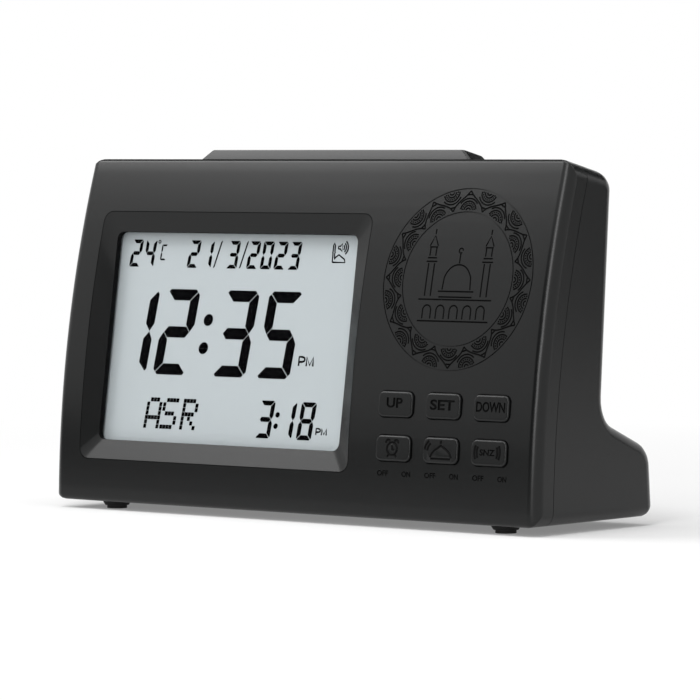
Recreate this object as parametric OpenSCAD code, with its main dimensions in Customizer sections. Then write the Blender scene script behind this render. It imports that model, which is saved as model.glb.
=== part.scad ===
// Azan table clock. A leaning, gently curved front shell carries a sunk display, a round ornament
// and six keys; a rear shell with a deep foot carries the loudspeaker and the battery bay.
// +X is the clock's right as seen from the front, +Y goes to the back, +Z is up. The origin lies
// on the table under the middle of the case.

/* [Case] */
// Overall width of the case
body_w = 190; // [180:1:210]
// Height of the front top edge above the table
body_h = 110.3; // [108:0.1:118]
// Overall depth, from the lower keys to the foot
body_d = 61.3; // [60:0.1:70]
// Depth of the upper case, taken at table height
upper_d = 32.1; // [31.5:0.1:36]
// Wall of both shells
wall = 2.2; // [1.8:0.1:2.4]
// Radius of the front's upright curve
front_r = 348.7; // [320:0.1:400]
// Height at which the curved front stands upright
front_low_z = -1.5; // [-4:0.1:1]
// Depth of the front shell, from its face to the seam
front_shell_d = 8.4; // [7.5:0.1:9.5]
// Gap at the seam between the shells
seam_gap = 0.2; // [0.1:0.05:0.3]
// Fall of the top towards the back, degrees
top_slope = 12; // [8:0.5:14]
// Backward lean of the upper rear wall, degrees
rear_lean = 3.9; // [2:0.1:5]
// Height at which the foot leaves the rear wall
foot_top = 33.2; // [31:0.1:36]
// Fall of the foot's upper face towards the back, degrees
foot_slope = 21.5; // [18:0.5:23]
// Lean of the foot's rear wall, degrees
foot_lean = 4.7; // [2:0.1:6]
// Rounding of the front, bottom, foot, slope, rear and top edges at the two sides
edge_r = [3.6, 4, 5, 4, 4, 5.5]; // [2.8:0.1:5.8]
// Rounding of the profile: front bottom, rear bottom, foot, inside corner, rear top, front top
corner_r = [1.6, 4, 9, 9, 5.5, 1.5]; // [1:0.1:10]

/* [Feet] */
// Height of the rubber feet
foot_h = 2.64; // [2:0.01:4]
// Diameter of a foot where it meets the case
foot_dia = 8.7; // [7:0.1:10]
// Diameter of the ring that stands on the table
pad_dia = 6.3; // [5:0.1:6.8]
// Distance of the front feet from the middle
foot_x = 76.8; // [70:0.1:80]
// Distance of the rear feet from the middle
foot_rear_x = 65; // [50:0.1:80]
// Distance of the front feet behind the front
foot_front_y = 9.7; // [8:0.1:12]
// Distance of the rear feet before the back
foot_rear_y = 9; // [8:0.1:12]

/* [Display] */
// Width of the display frame
bezel_w = 108.4; // [104:0.1:112]
// Margin between the left side of the case and the display frame
bezel_margin = 10.7; // [10.5:0.1:14]
// Margin between the front top edge and the display frame
bezel_top = 16.45; // [16:0.05:20]
// Height of the display frame's lower edge above the table
bezel_low = 15.45; // [15:0.05:18]
// Width of the frame at the sides of the window opening
border_x = 5.5; // [5:0.1:8]
// Height of the frame above and below the window opening
border_z = 6.25; // [6:0.05:8]
// Backward lean of the display, degrees
panel_tilt = 8.5; // [8:0.1:9]
// Depth of the inner rim behind the front, at the middle
rim_depth = 3.3; // [3.1:0.1:3.8]
// Height of the upright step between the inner rim and the window
step_h = 1.95; // [1.5:0.05:2.2]
// Thickness of the clear window
window_t = 1; // [0.8:0.1:1.2]
// Thickness of the liquid crystal glass
lcd_t = 2; // [1.6:0.1:2.4]
// Thickness of the light guide
backlight_t = 3.2; // [2.6:0.1:3.4]
// Thickness of the circuit boards
board_t = 1.6; // [1:0.1:1.8]

/* [Keys] */
// Space between the keys of a row
key_space = 4.8; // [4:0.1:6]
// Distance of the keys from the display frame
keys_left = 11.11; // [10.5:0.01:13]
// Distance of the keys from the right side of the case
keys_right = 11.01; // [10.5:0.01:13]
// Height of a key
key_h = 7.8; // [7:0.1:8.4]
// Corner radius of a key
key_r = 2; // [1:0.1:2.5]
// Distance between key rows
row_pitch = 13.15; // [12.8:0.01:14]
// Height of the middle between the key rows above the table
keys_z = 30.55; // [29:0.05:32]
// Height of a key above the front
key_proud = 0.8; // [0.5:0.1:1]
// Travel of a key
key_travel = 0.9; // [0.6:0.1:1]
// Gap around a key
key_gap = 0.25; // [0.2:0.05:0.3]

/* [Ornament] */
// Distance of the engraved ring below the front top edge
medal_top = 7.87; // [7:0.01:12]
// Distance of the engraved ring above the upper keys
medal_gap = 5.94; // [4:0.01:10]
// Width of the engraved ring
medal_ring = 7.53; // [5:0.01:9]
// Depth of the engraving
medal_depth = 0.4; // [0.3:0.05:0.6]

/* [Snooze bar] */
// Length of the bar where it leaves the top
bar_l = 108.2; // [98:0.1:112]
// Depth of the bar where it leaves the top
bar_d = 11.6; // [10.6:0.1:12]
// Height of the bar above the top
bar_h = 3.8; // [3:0.1:4.5]
// Taper of the bar's ends
bar_end_taper = 4.4; // [1:0.1:5]
// Taper of the bar's front and back
bar_side_taper = 1; // [0.5:0.1:1.5]
// Distance of the bar behind the front top edge
bar_back = 4.4; // [4.2:0.1:5]
// Travel of the bar
bar_travel = 1; // [0.6:0.1:1.2]
// Gap around the bar
bar_gap = 0.3; // [0.2:0.05:0.4]

/* [Loudspeaker] */
// Diameter of the loudspeaker
speaker_dia = 50; // [46:0.5:52]
// Diameter of its magnet
magnet_dia = 30; // [26:0.5:32]
// Distance of the loudspeaker's middle from the right side of the case
speaker_in = 35.4; // [32:0.1:38]
// Distance of its middle below the front top edge
speaker_drop = 38.3; // [36:0.1:40]
// Diameter of a hole in the grille
grille_hole = 2.4; // [1.6:0.1:2.8]
// Distance between the rings of holes
grille_pitch = 6; // [5:0.1:6.4]

/* [Battery bay] */
// Diameter of a cell
cell_dia = 14.5; // [14.2:0.1:14.5]
// Length of a cell
cell_l = 50.5; // [49.5:0.1:50.5]
// Length of the bay
bay_l = 57.5; // [56.5:0.1:60]
// Distance of the bay's middle before the back
bay_back = 22.2; // [22:0.1:23]
// Height of the battery door's rear lip
door_lip_h = 6; // [5.5:0.1:7]

/* [Fasteners] */
// Diameter of the case screws
case_screw_dia = 3; // [2.6:0.1:3.2]
// Diameter of the board screws
board_screw_dia = 2; // [1.8:0.1:2.2]
// Distance of the case screws from the sides
screw_in = 9; // [8.5:0.1:9.5]
// Height of the lower case screws above the underside
screw_low = 6.4; // [6.3:0.1:6.6]
// Distance of the upper case screws below the front top edge
screw_high = 10.6; // [10.4:0.1:11]

/* [Hidden] */
$fn = 48;

bezel_h = body_h - bezel_top - bezel_low;
bezel_z = bezel_low + bezel_h / 2;
view_w = bezel_w - 2 * border_x;
view_h = bezel_h - 2 * border_z;
keys_w = body_w - bezel_margin - bezel_w - keys_left - keys_right;
key_w = (keys_w - 2 * key_space) / 3;
key_pitch = key_w + key_space;
keys_high = keys_z + row_pitch / 2 + key_h / 2;
medal_r = (body_h - medal_top - medal_gap - keys_high) / 2;
medal_in_r = medal_r - medal_ring;

black = "#2a2b2c";
key_top = 0.7;                     // radius of the rounding round a key's face
keys_sag = front_r - sqrt(pow(front_r, 2) - pow(keys_z - front_low_z, 2));
keys_lean = asin((keys_z - front_low_z) / front_r);
// The lower keys stand out in front of the case, and the foot's rounding cuts its corner short.
keys_out = key_proud * cos(keys_lean) + (row_pitch / 2 + key_h / 2 - key_top) * sin(keys_lean) - keys_sag;
front_y = keys_out - body_d / 2;   // the front, at the height where it stands upright
foot_y = body_d / 2 + corner_r[1] * ((1 + sin(foot_lean)) / cos(foot_lean) - 1);
axis_y = front_y + front_r;        // the axis of the front's curve

// ---- plane geometry ----

function unit(v) = v / norm(v);
// A wall of the profile is [angle of its outward normal, distance from the origin], in the YZ plane.
function through(a, p) = [a, p.x * cos(a) + p.y * sin(a)];
function moved_in(l, by) = [l[0], l[1] - by];
function meet(a, b) =
    [a[1] * sin(b[0]) - b[1] * sin(a[0]), b[1] * cos(a[0]) - a[1] * cos(b[0])] / sin(b[0] - a[0]);
// The rounded corner at b, as steps + 1 points of an arc.
function corner(a, b, c, r, steps) =
    let (u = unit(a - b), v = unit(c - b), half = acos(u * v) / 2,
        m = b + unit(u + v) * r / sin(half),
        p = b + u * r / tan(half) - m, q = b + v * r / tan(half) - m,
        from = atan2(p.y, p.x), turn = atan2(p.x * q.y - p.y * q.x, p * q))
    [for (i = [0:steps]) m + r * [cos(from + turn * i / steps), sin(from + turn * i / steps)]];
// A rounded rectangle about the origin, counter-clockwise, with points along its upright sides too.
function rounded(w, h, r, steps = 5, upright = 0) =
    let (x = w / 2 - r, y = h / 2 - r)
    [for (c = [[x, y, 0], [-x, y, 90], [-x, -y, 180], [x, -y, 270]]) each concat(
        [for (i = [0:steps]) [c.x, c.y] + r * [cos(c.z + 90 * i / steps), sin(c.z + 90 * i / steps)]],
        [for (i = [1:1:c.z % 180 == 90 ? upright : 0])
            [c.x - r * sin(c.z), c.y * (1 - 2 * i / (upright + 1))]])];

// ---- the case's own surfaces ----

// Y of the front, or of the surface that lies depth behind it.
function front_at(z, depth = 0) = axis_y - sqrt(pow(front_r - depth, 2) - pow(z - front_low_z, 2));
function front_lean(z) = asin((z - front_low_z) / front_r);
function rear_at(z) = front_y + upper_d + z * tan(rear_lean);

bottom_line = through(-90, [0, foot_h]);
foot_line = through(foot_lean, [foot_y, foot_h]);
slope_line = through(90 - foot_slope, [rear_at(foot_top), foot_top]);
rear_line = through(-rear_lean, [rear_at(0), 0]);
top_line = through(90 - top_slope, [front_at(body_h), body_h]);

// The case's side profile, moved in by cover and rolled over towards the sides by roll (0 to 1).
front_steps = 22;
function side_r(e, cover) = max(edge_r[e] - cover, 0.6);
function case_corners(cover, roll) =
    let (by = [for (e = [0:5]) cover + side_r(e, cover) * roll], r = front_r - by[0],
        low_z = foot_h + by[1], top = moved_in(top_line, by[5]),
        n = [cos(top[0]), sin(top[0])], h = top[1] - n * [axis_y, front_low_z])
    [[axis_y - sqrt(r * r - pow(low_z - front_low_z, 2)), low_z],
        meet(moved_in(bottom_line, by[1]), moved_in(foot_line, by[2])),
        meet(moved_in(foot_line, by[2]), moved_in(slope_line, by[3])),
        meet(moved_in(slope_line, by[3]), moved_in(rear_line, by[4])),
        meet(moved_in(rear_line, by[4]), top),
        [axis_y, front_low_z] + h * n + sqrt(r * r - h * h) * [-n.y, n.x]];
corner_steps = [3, 5, 7, 7, 6, 3];
function case_profile(cover, roll) =
    let (c = case_corners(cover, roll), r = front_r - cover - side_r(0, cover) * roll,
        high = asin((c[5].y - front_low_z) / r), low = asin((c[0].y - front_low_z) / r),
        face = [for (i = [1:front_steps - 1]) let (a = high + (low - high) * i / front_steps)
            [axis_y - r * cos(a), front_low_z + r * sin(a)]])
    concat([for (k = [0:5])
        let (before = k == 0 ? face[front_steps - 2] : c[k - 1], after = k == 5 ? face[0] : c[k + 1],
            side = (side_r(k, cover) + side_r((k + 1) % 6, cover)) / 2,
            rr = k == 3 ? corner_r[k] + cover + side * roll : max(corner_r[k] - cover - side * roll, 0.3))
        each corner(before, c[k], after, rr, corner_steps[k])], face);
// The side rounding at each point of the profile, which blends from wall to wall in the corners.
function case_sides(cover) = concat([for (k = [0:5]) each [for (i = [0:corner_steps[k]])
        side_r(k, cover) + (side_r((k + 1) % 6, cover) - side_r(k, cover)) * i / corner_steps[k]]],
    [for (i = [1:front_steps - 1]) side_r(0, cover)]);
function case_ring(cover, turn, hand) =
    let (p = case_profile(cover, 1 - cos(turn)), s = case_sides(cover))
    [for (i = [0:len(p) - 1]) [hand * (body_w / 2 - cover - s[i] * (1 - sin(turn))), p[i].x, p[i].y]];

// ---- solids from rings of points ----

function band(a, b, m) = [for (i = [0:m - 1]) let (j = (i + 1) % m)
    each [[a * m + i, b * m + i, b * m + j], [a * m + i, b * m + j, a * m + j]]];
// A tube of rings closed at both ends by fans about the points first and last.
module closed_skin(rings, first, last) {
    m = len(rings[0]);
    n = len(rings);
    polyhedron(points = concat([for (r = rings) each r], [first, last]), faces = concat(
        [for (k = [0:n - 2]) each band(k, k + 1, m)],
        [for (i = [0:m - 1]) [n * m, i, (i + 1) % m]],
        [for (i = [0:m - 1]) [n * m + 1, (n - 1) * m + (i + 1) % m, (n - 1) * m + i]]));
}
// A frame whose section runs through the rings and back to the first.
module frame_skin(rings) {
    m = len(rings[0]);
    n = len(rings);
    polyhedron(points = [for (r = rings) each r], faces = [for (k = [0:n - 1]) each band(k, (k + 1) % n, m)]);
}

// The whole case as one block, moved in by cover.
module case_block(cover, steps) {
    turns = [for (i = [0:steps]) 90 * i / steps];
    middle = [front_y + upper_d / 2, foot_top / 2];
    half = body_w / 2 - cover;
    closed_skin(concat([for (i = [steps:-1:0]) case_ring(cover, turns[i], -1)],
        [for (i = [0:steps]) case_ring(cover, turns[i], 1)]),
        [-half, middle.x, middle.y], [half, middle.x, middle.y]);
}
// Everything that lies more than depth behind the front.
module behind_front(depth) {
    translate([-body_w, axis_y, front_low_z]) rotate([0, 90, 0])
        cylinder(r = front_r - depth, h = 2 * body_w, $fn = 720);
}

// ---- places ----

bezel_x = -body_w / 2 + bezel_margin + bezel_w / 2;
column_x = body_w / 2 - keys_right - keys_w / 2;
medal_z = body_h - medal_top - medal_r;
speaker_x = body_w / 2 - speaker_in;
speaker_z = body_h - speaker_drop;
rim_y = front_at(bezel_z) + rim_depth / cos(panel_tilt);

// In each of these frames X and Z lie in the surface and +Y goes inwards, away from the viewer.
module on_panel() translate([bezel_x, rim_y, bezel_z]) rotate([-panel_tilt, 0, 0]) children();
module on_keys() translate([column_x, front_at(keys_z), keys_z]) rotate([-keys_lean, 0, 0]) children();
module on_medal() translate([column_x, front_at(medal_z), medal_z]) rotate([-front_lean(medal_z), 0, 0])
    children();
// +Z leaves the top at a right angle, and +Y runs back along it from the front top edge.
module on_top() translate([0, front_at(body_h), body_h]) rotate([-top_slope, 0, 0]) children();
// +Y leaves the upper rear wall at a right angle.
module on_rear(x, z) translate([x, rear_at(z), z]) rotate([-rear_lean, 0, 0]) children();

// A round or a flat rounded bar along Y, between two depths.
module rod(r, y0, y1) translate([0, y0, 0]) rotate([-90, 0, 0]) cylinder(r = r, h = y1 - y0);
module slab(w, h, r, y0, y1) translate([0, y1, 0]) rotate([90, 0, 0]) linear_extrude(y1 - y0)
    polygon(rounded(w, h, r));
module at(places) for (p = places) translate([p.x, 0, p.y]) children();
module post(r, hole_r, y0, y1, floor_t = 0) difference() {
    rod(r, y0, y1);
    rod(hole_r, y0 + floor_t, y1 + 1);
}
// A pan-head screw along -Y: its head rests at y0 and its thread reaches back by l.
module screw(d, l, y0, head_r = 0) {
    rod(d / 2, y0 - l, y0);
    difference() {
        rod(max(d * 0.95, head_r), y0, y0 + d * 0.6);
        translate([0, y0 + d * 0.45, 0]) cube([d * 1.2, d * 0.4, d * 0.25], center = true);
        translate([0, y0 + d * 0.45, 0]) cube([d * 0.25, d * 0.4, d * 1.2], center = true);
    }
}
// A coil of round wire about Z.
module coil(r, wire_r, l, turns) {
    sides = 6;
    per_turn = 12;
    count = turns * per_turn;
    path = [for (i = [0:count]) [i * 360 / per_turn, (l - 2 * wire_r) * i / count + wire_r]];
    closed_skin([for (p = path) [for (k = [0:sides - 1]) let (a = -360 * k / sides, q = r + wire_r * cos(a))
            [q * cos(p.x), q * sin(p.x), p.y + wire_r * sin(a)]]],
        [r, 0, path[0].y], [r * cos(path[count].x), r * sin(path[count].x), path[count].y]);
}

// ---- display ----

window_fit = 0.1;                  // around the window in its rebate
window_lap = 1.6;                  // of the window behind the opening's edge
key_board_out = 6.3;               // of the key board beyond the keys
board_clear = 0.81;                // between the key board and the display frame's flange
flange_side = keys_left - key_board_out - board_clear;
flange_end = 2.5;
rebate_w = view_w + 2 * window_lap;
rebate_h = view_h + 2 * window_lap;
bezel_back = step_h + window_t + window_fit;
flange_w = bezel_w + 2 * flange_side;
flange_h = bezel_h + 2 * flange_end;
bezel_fit = 0.2;                   // between the frame and the front shell
// The front's curve seen from the panel: the axis, and the depth at height w along the panel.
panel_axis = let (y = axis_y - rim_y, z = front_low_z - bezel_z)
    [y * cos(panel_tilt) - z * sin(panel_tilt), y * sin(panel_tilt) + z * cos(panel_tilt)];
function panel_front(w, depth = 0) = panel_axis.x - sqrt(pow(front_r - depth, 2) - pow(w - panel_axis.y, 2));
bezel_sides = 9;
function on_face(w, h, r, depth) =
    [for (p = rounded(w, h, r, 4, bezel_sides)) [p.x, panel_front(p.y, depth), p.y]];
function on_plane(w, h, r, y) = [for (p = rounded(w, h, r, 4, bezel_sides)) [p.x, y, p.y]];
stake_places = [for (x = [-1, 1], z = [-1, 0, 1])
    [x * (bezel_w / 2 + flange_side / 2 + 0.1), z * bezel_h / 3]];
stake_r = 0.9;
board_in = 1.5;                    // of the main board inside the frame's flange, clear of the towers
board_front = bezel_back + lcd_t + backlight_t + 0.7;
board_w = bezel_w + 2 * flange_end - 2 * board_in;
board_h = flange_h - 2 * board_in;
board_post_r = 2.3;
board_post_in = 3.4;               // of the posts inside the frame's flange
board_posts = [for (x = [-1, 1], z = [-1, 1])
    [x * (bezel_w / 2 + flange_end - board_post_in), z * (flange_h / 2 - board_post_in - 0.1)]];
lcd_w = rebate_w + 1.4;
lcd_h = rebate_h + 1.9;
lcd_back = bezel_back + 0.05 + lcd_t;
strip_t = 2;                       // of the rubber strips that join glass and board
backlight_w = view_w + 0.8;
backlight_h = view_h - 3;

module display_bezel() color(black) on_panel() difference() {
    union() {
        frame_skin([
            on_face(bezel_w, bezel_h, 3.2, 0),
            on_plane(view_w, view_h, 2.4, 0),
            on_plane(view_w, view_h, 2.4, step_h),
            on_plane(rebate_w, rebate_h, 1.2, step_h),
            on_plane(rebate_w, rebate_h, 1.2, bezel_back),
            on_plane(flange_w, flange_h, 3, bezel_back),
            on_face(flange_w, flange_h, 3, wall + bezel_fit),
            on_face(bezel_w, bezel_h, 3.2, wall + bezel_fit)]);
        at(board_posts) rod(board_post_r, bezel_back - 0.5, board_front);
    }
    at(board_posts) rod(board_screw_dia * 0.4, bezel_back + 1, board_front + 1);
    at(stake_places) rod(stake_r + 0.1, -6, bezel_back + 1);
}

module display_window() color("#dfe6ea", 0.3) on_panel()
    slab(rebate_w - 2 * window_fit, rebate_h - 2 * window_fit, 1.1, step_h, step_h + window_t);

// Two sheets of glass: the rear one is shorter, so that the front one's contacts face the strips.
module lcd_panel() color("#b9c1c4") on_panel() {
    slab(lcd_w, lcd_h, 0.5, lcd_back - lcd_t, lcd_back - lcd_t / 2);
    slab(lcd_w, backlight_h, 0.5, lcd_back - lcd_t / 2, lcd_back);
}

module lcd_backlight() color("#f2f5f0") on_panel() difference() {
    slab(backlight_w, backlight_h, 1, lcd_back + 0.05, lcd_back + backlight_t);
    for (z = [-1, 0, 1]) translate([backlight_w / 2, lcd_back + backlight_t, z * backlight_h / 3])
        cube([6, 2, 4], center = true);
}

module lcd_frame() color("#e9e9e4") on_panel() difference() {
    slab(lcd_w - 0.6, lcd_h - 0.4, 1, lcd_back + 0.05, board_front - 0.05);
    slab(backlight_w + 0.4, backlight_h + 2 * strip_t + 1, 0.6, lcd_back - 1, board_front + 1);
}

strip_front = lcd_back - lcd_t / 2;
module zebra_strips() color("#3a3230") on_panel() for (s = [-1, 1])
    translate([0, 0, s * (backlight_h / 2 + 0.25 + strip_t / 2)])
        slab(view_w - 6, strip_t, 0.2, strip_front, board_front);

// ---- main board ----

module main_board() color("#2f6b3c") on_panel() difference() {
    slab(board_w, board_h, 1.5, board_front, board_front + board_t);
    at(board_posts) rod(board_screw_dia / 2 + 0.1, board_front - 1, board_front + board_t + 1);
}
board_rear = board_front + board_t;

// The blob of resin over the bare chip.
module clock_chip() color("#141414") on_panel() translate([-14, board_rear, 4]) rotate([-90, 0, 0])
    rotate_extrude() polygon([[0, 0], [8, 0], [7.7, 0.7], [6.8, 1.3], [5, 1.8], [2.5, 2.15], [0, 2.25]]);

module quartz_crystal() color("silver") on_panel() translate([8, board_rear + 1.55, 14]) rotate([0, 90, 0]) {
    cylinder(r = 1.55, h = 6.2);
    for (y = [-0.6, 0.6]) translate([0, y, -2]) cylinder(r = 0.25, h = 2.1);
}

cap_r = 3.15;
cap_l = 6.4;
cap_seal = 0.6;                    // of the rubber seal between the can and the board
cap_places = [for (k = [2, 3]) [k * (2 * cap_r + 2.7), -5 * cap_r]];
module buffer_capacitors() color("#20304a") on_panel() at(cap_places) {
    rod(cap_r, board_rear + cap_seal, board_rear + cap_seal + cap_l);
    rod(cap_r - 0.55, board_rear, board_rear + cap_seal + 0.1);
}

plug_w = 7.4;
plug_h = 5.4;
plug_l = 5.8;
plug_wall = 0.9;
plug_x = board_w / 2 - 2 * plug_w;
plug_places = [[-plug_x, 5 * plug_h], [-plug_x, 3 * plug_h], [plug_x, -plug_h / 2], [plug_x, 2 * plug_h]];
module board_plugs() color("#efe9dc") on_panel() at(plug_places) difference() {
    slab(plug_w, plug_h, 0.4, board_rear, board_rear + plug_l);
    slab(plug_w - 2 * plug_wall, plug_h - 2 * plug_wall, 0.3, board_rear + 1.2, board_rear + plug_l + 1);
    for (x = [-1, 1]) translate([x * plug_w / 4, board_rear + plug_l - 1.2, plug_h / 2 - plug_wall / 2])
        cube([1, 2.6, 2 * plug_wall], center = true);
}

module board_screws() color("silver") on_panel() at(board_posts) screw(board_screw_dia, 5, board_rear);

// ---- keys ----

function key_place(k) = [(k % 3 - 1) * key_pitch, (k < 3 ? 0.5 : -0.5) * row_pitch];
flange_gap = 0.2;                  // between a key's flange and the inside of the front
key_flange_y = wall + flange_gap;
key_flange_t = 1;
stem_end = key_flange_y + key_flange_t + 1.2;
dome_h = 1.9;
mat_y = stem_end + dome_h;
mat_t = 0.8;
key_board_y = mat_y + mat_t;
key_lap = 1.2;                     // of a key's flange beyond the key
key_post_r = 2;
key_post_x = keys_w / 2 + key_lap + key_post_r + 0.5;
key_posts = [for (x = [-1, 1], z = [-1, 1]) [x * key_post_x, z * row_pitch * 0.6]];
pad_w = keys_w + 2 * key_board_out;
pad_h = row_pitch + 13;

module key(k) {
    p = key_place(k);
    color(black) on_keys() translate([p.x, 0, p.y]) {
        closed_skin([for (s = [[key_flange_y + 0.2, 0], [key_top - key_proud, 0],
                    [key_top * 0.4 - key_proud, key_top * 0.2], [key_top * 0.1 - key_proud, key_top * 0.5],
                    [-key_proud, key_top]])
                [for (q = rounded(key_w - 2 * s[1], key_h - 2 * s[1], key_r - s[1], 5)) [q.x, s[0], q.y]]],
            [0, key_flange_y + 0.2, 0], [0, -key_proud, 0]);
        slab(key_w + 2 * key_lap, key_h + 2 * key_lap, key_r, key_flange_y, key_flange_y + key_flange_t);
        rod(2.2, key_flange_y + key_flange_t - 0.2, stem_end);
    }
}
module key_up() key(0);
module key_set() key(1);
module key_down() key(2);
module key_alarm() key(3);
module key_azan() key(4);
module key_snooze() key(5);

// A silicone dome under a stem, with its carbon pill. It is revolved about Y.
module dome(k) {
    p = key_place(k);
    color("#c9c4b8") on_keys() translate([p.x, mat_y, p.y]) rotate([90, 0, 0]) rotate_extrude()
        polygon([[3.9, 0], [3.9, 0.25], [2.3, dome_h], [0, dome_h], [0, 1.05], [1.1, 1.05], [1.1, 1.35],
            [1.75, 1.35], [3.2, 0]]);
}
module dome_up() dome(0);
module dome_set() dome(1);
module dome_down() dome(2);
module dome_alarm() dome(3);
module dome_azan() dome(4);
module dome_snooze() dome(5);

module key_mat() color("#c9c4b8") on_keys() difference() {
    slab(pad_w, pad_h, 1.5, mat_y, key_board_y);
    for (k = [0:5]) translate([key_place(k).x, 0, key_place(k).y]) rod(3.2, mat_y - 1, key_board_y + 1);
    at(key_posts) rod(key_post_r + 0.2, mat_y - 1, key_board_y + 1);
}

module key_board() color("#2f6b3c") on_keys() difference() {
    slab(pad_w, pad_h, 1.5, key_board_y, key_board_y + board_t);
    at(key_posts) rod(board_screw_dia / 2 + 0.1, key_board_y - 1, key_board_y + board_t + 1);
}
module key_board_screws() color("silver") on_keys() at(key_posts)
    screw(board_screw_dia, 5, key_board_y + board_t);

// ---- snooze bar ----

bar_mid = bar_back + bar_d / 2;
bar_flange_t = 1.2;
bar_flange_lap = 1.2;
bar_flange_z = -wall - 0.2;        // top of the flange, under the case's top
bar_low = bar_flange_z - bar_flange_t;
guide_x = bar_l / 2 - 14;
guide_r = 2;
guide_fit = 0.08;
spring_r = 3.1;
wire_r = 0.3;
shelf_z = bar_low - 5;             // upper face of the brackets that guide the bar
shelf_t = 2.4;
snooze_board_t = 1;
snooze_dome_h = 2.2;

bar_r = 1.2;
bar_wall = 1.7;
// Height and share of the taper at each ring of the bar's skin, with its rounded top edge.
bar_section = [[bar_low, 0], [0, 0], [bar_h - 0.5, 0.83], [bar_h - 0.15, 0.93], [bar_h, 1]];
module bar_outline(w, d, z0, z1) translate([0, bar_mid, z0]) linear_extrude(z1 - z0)
    polygon(rounded(w, d, 1.5, 4));
module snooze_bar() color(black) on_top() {
    difference() {
        union() {
            closed_skin([for (s = bar_section)
                    [for (q = rounded(bar_l - 2 * bar_end_taper * s[1], bar_d - 2 * bar_side_taper * s[1],
                        bar_r, 4)) [q.x, bar_mid + q.y, s[0]]]],
                [0, bar_mid, bar_low], [0, bar_mid, bar_h]);
            bar_outline(bar_l + 2 * bar_flange_lap, bar_d + 2 * bar_flange_lap, bar_low, bar_flange_z);
        }
        bar_outline(bar_l - 2 * (bar_end_taper + bar_wall), bar_d - 2 * (bar_side_taper + bar_wall),
            bar_low - 1, bar_h - bar_wall);
    }
    for (x = [-guide_x, guide_x]) translate([x, bar_mid, shelf_z - shelf_t - bar_travel])
        cylinder(r = guide_r, h = bar_h - 1.4 - shelf_z + shelf_t + bar_travel);
    for (x = [-guide_x, guide_x]) translate([x, bar_mid, bar_low]) cylinder(r = 4, h = bar_h - 1.4 - bar_low);
    translate([0, bar_mid, shelf_z + snooze_board_t + snooze_dome_h])
        cylinder(r = 2, h = bar_h - 1.4 - shelf_z - snooze_board_t - snooze_dome_h);
}

module snooze_springs() color("silver") on_top() for (x = [-guide_x, guide_x])
    translate([x, bar_mid, shelf_z]) coil(spring_r, wire_r, bar_low - shelf_z, 4);

snooze_dome_r = 3.7;
snooze_board_w = 4 * snooze_dome_r + 1.2;
snooze_board_d = 2 * snooze_dome_r + 1.6;
module snooze_board() color("#2f6b3c") on_top() translate([0, bar_mid, shelf_z])
    linear_extrude(snooze_board_t) polygon(rounded(snooze_board_w, snooze_board_d, 1, 3));

module snooze_dome() color("#c9c4b8") on_top() translate([0, bar_mid, shelf_z + snooze_board_t])
    rotate_extrude() polygon([[snooze_dome_r, 0], [snooze_dome_r, 0.3], [snooze_dome_r - 1.5, snooze_dome_h],
        [0, snooze_dome_h], [0, 1.3], [1.1, 1.3], [1.1, 1.5], [1.7, 1.5], [snooze_dome_r - 0.7, 0]]);

module snooze_slot() on_top() bar_outline(bar_l + 2 * bar_gap, bar_d + 2 * bar_gap, -wall - 3, bar_h + 3);

// ---- loudspeaker ----

gasket_t = 0.8;
speaker_y = -wall - gasket_t;      // front of the speaker's rim, from the outside of the rear wall
rim_t = 1.2;
basket_l = 9.4;
magnet_y = speaker_y - basket_l;
magnet_t = 6.5;
rim_w = 3;                         // of the speaker's rim and its gasket
surround_w = 2;
coil_r = 5.8;                      // inside the voice coil
coil_t = 0.6;
neck_y = speaker_y - basket_l * 0.66;
cap_y = speaker_y - basket_l * 0.404;
clamp_r = 1.8;
clamp_places = [for (a = [20, 160, 270]) (speaker_dia / 2 + clamp_r + 0.1) * [cos(a), sin(a)]];
grille_rings = floor((speaker_dia / 2 - 5) / grille_pitch);

// Revolved about the speaker's axis, with the given outline of [radius, depth inwards].
module turned(outline) on_rear(speaker_x, speaker_z) rotate([90, 0, 0]) rotate_extrude()
    polygon([for (p = outline) [p.x, -p.y]]);

module speaker_frame() color("#8f9396") difference() {
    turned([[speaker_dia / 2 - rim_w, speaker_y], [speaker_dia / 2, speaker_y],
        [speaker_dia / 2, speaker_y - rim_t], [speaker_dia / 2 - rim_w + 1, speaker_y - rim_t],
        [magnet_dia / 2 + 2.2, magnet_y + 0.8], [magnet_dia / 2 + 2.2, magnet_y], [3.5, magnet_y],
        [3.5, magnet_y + 0.8], [magnet_dia / 2 + 1, magnet_y + 0.8],
        [speaker_dia / 2 - rim_w, speaker_y - rim_t]]);
    on_rear(speaker_x, speaker_z) for (a = [45:90:315]) rotate([0, a, 0])
        translate([magnet_dia / 2 + 4.6, speaker_y - 5.4, 0]) rotate([90, 0, 0])
            cylinder(r = 3, h = 12, center = true);
}
module speaker_magnet() color("#3c3d3f") turned([[0, magnet_y], [magnet_dia / 2, magnet_y],
    [magnet_dia / 2, magnet_y - magnet_t + 1.2], [magnet_dia / 2 - 1.5, magnet_y - magnet_t + 1.2],
    [magnet_dia / 2 - 1.5, magnet_y - magnet_t], [0, magnet_y - magnet_t]]);
module speaker_cone() color("#23211f") turned([[speaker_dia / 2 - rim_w - 0.1, speaker_y],
    [speaker_dia / 2 - rim_w - 0.1, speaker_y - 0.5], [speaker_dia / 2 - rim_w - surround_w, speaker_y - 1.4],
    [coil_r + 2 * coil_t, neck_y], [coil_r + coil_t, magnet_y + 0.8], [coil_r, magnet_y + 0.8],
    [coil_r, neck_y + 0.8], [0, cap_y], [0, cap_y + 0.5], [coil_r + coil_t, neck_y + 1.4],
    [speaker_dia / 2 - rim_w - surround_w, speaker_y - 0.6]]);
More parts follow.
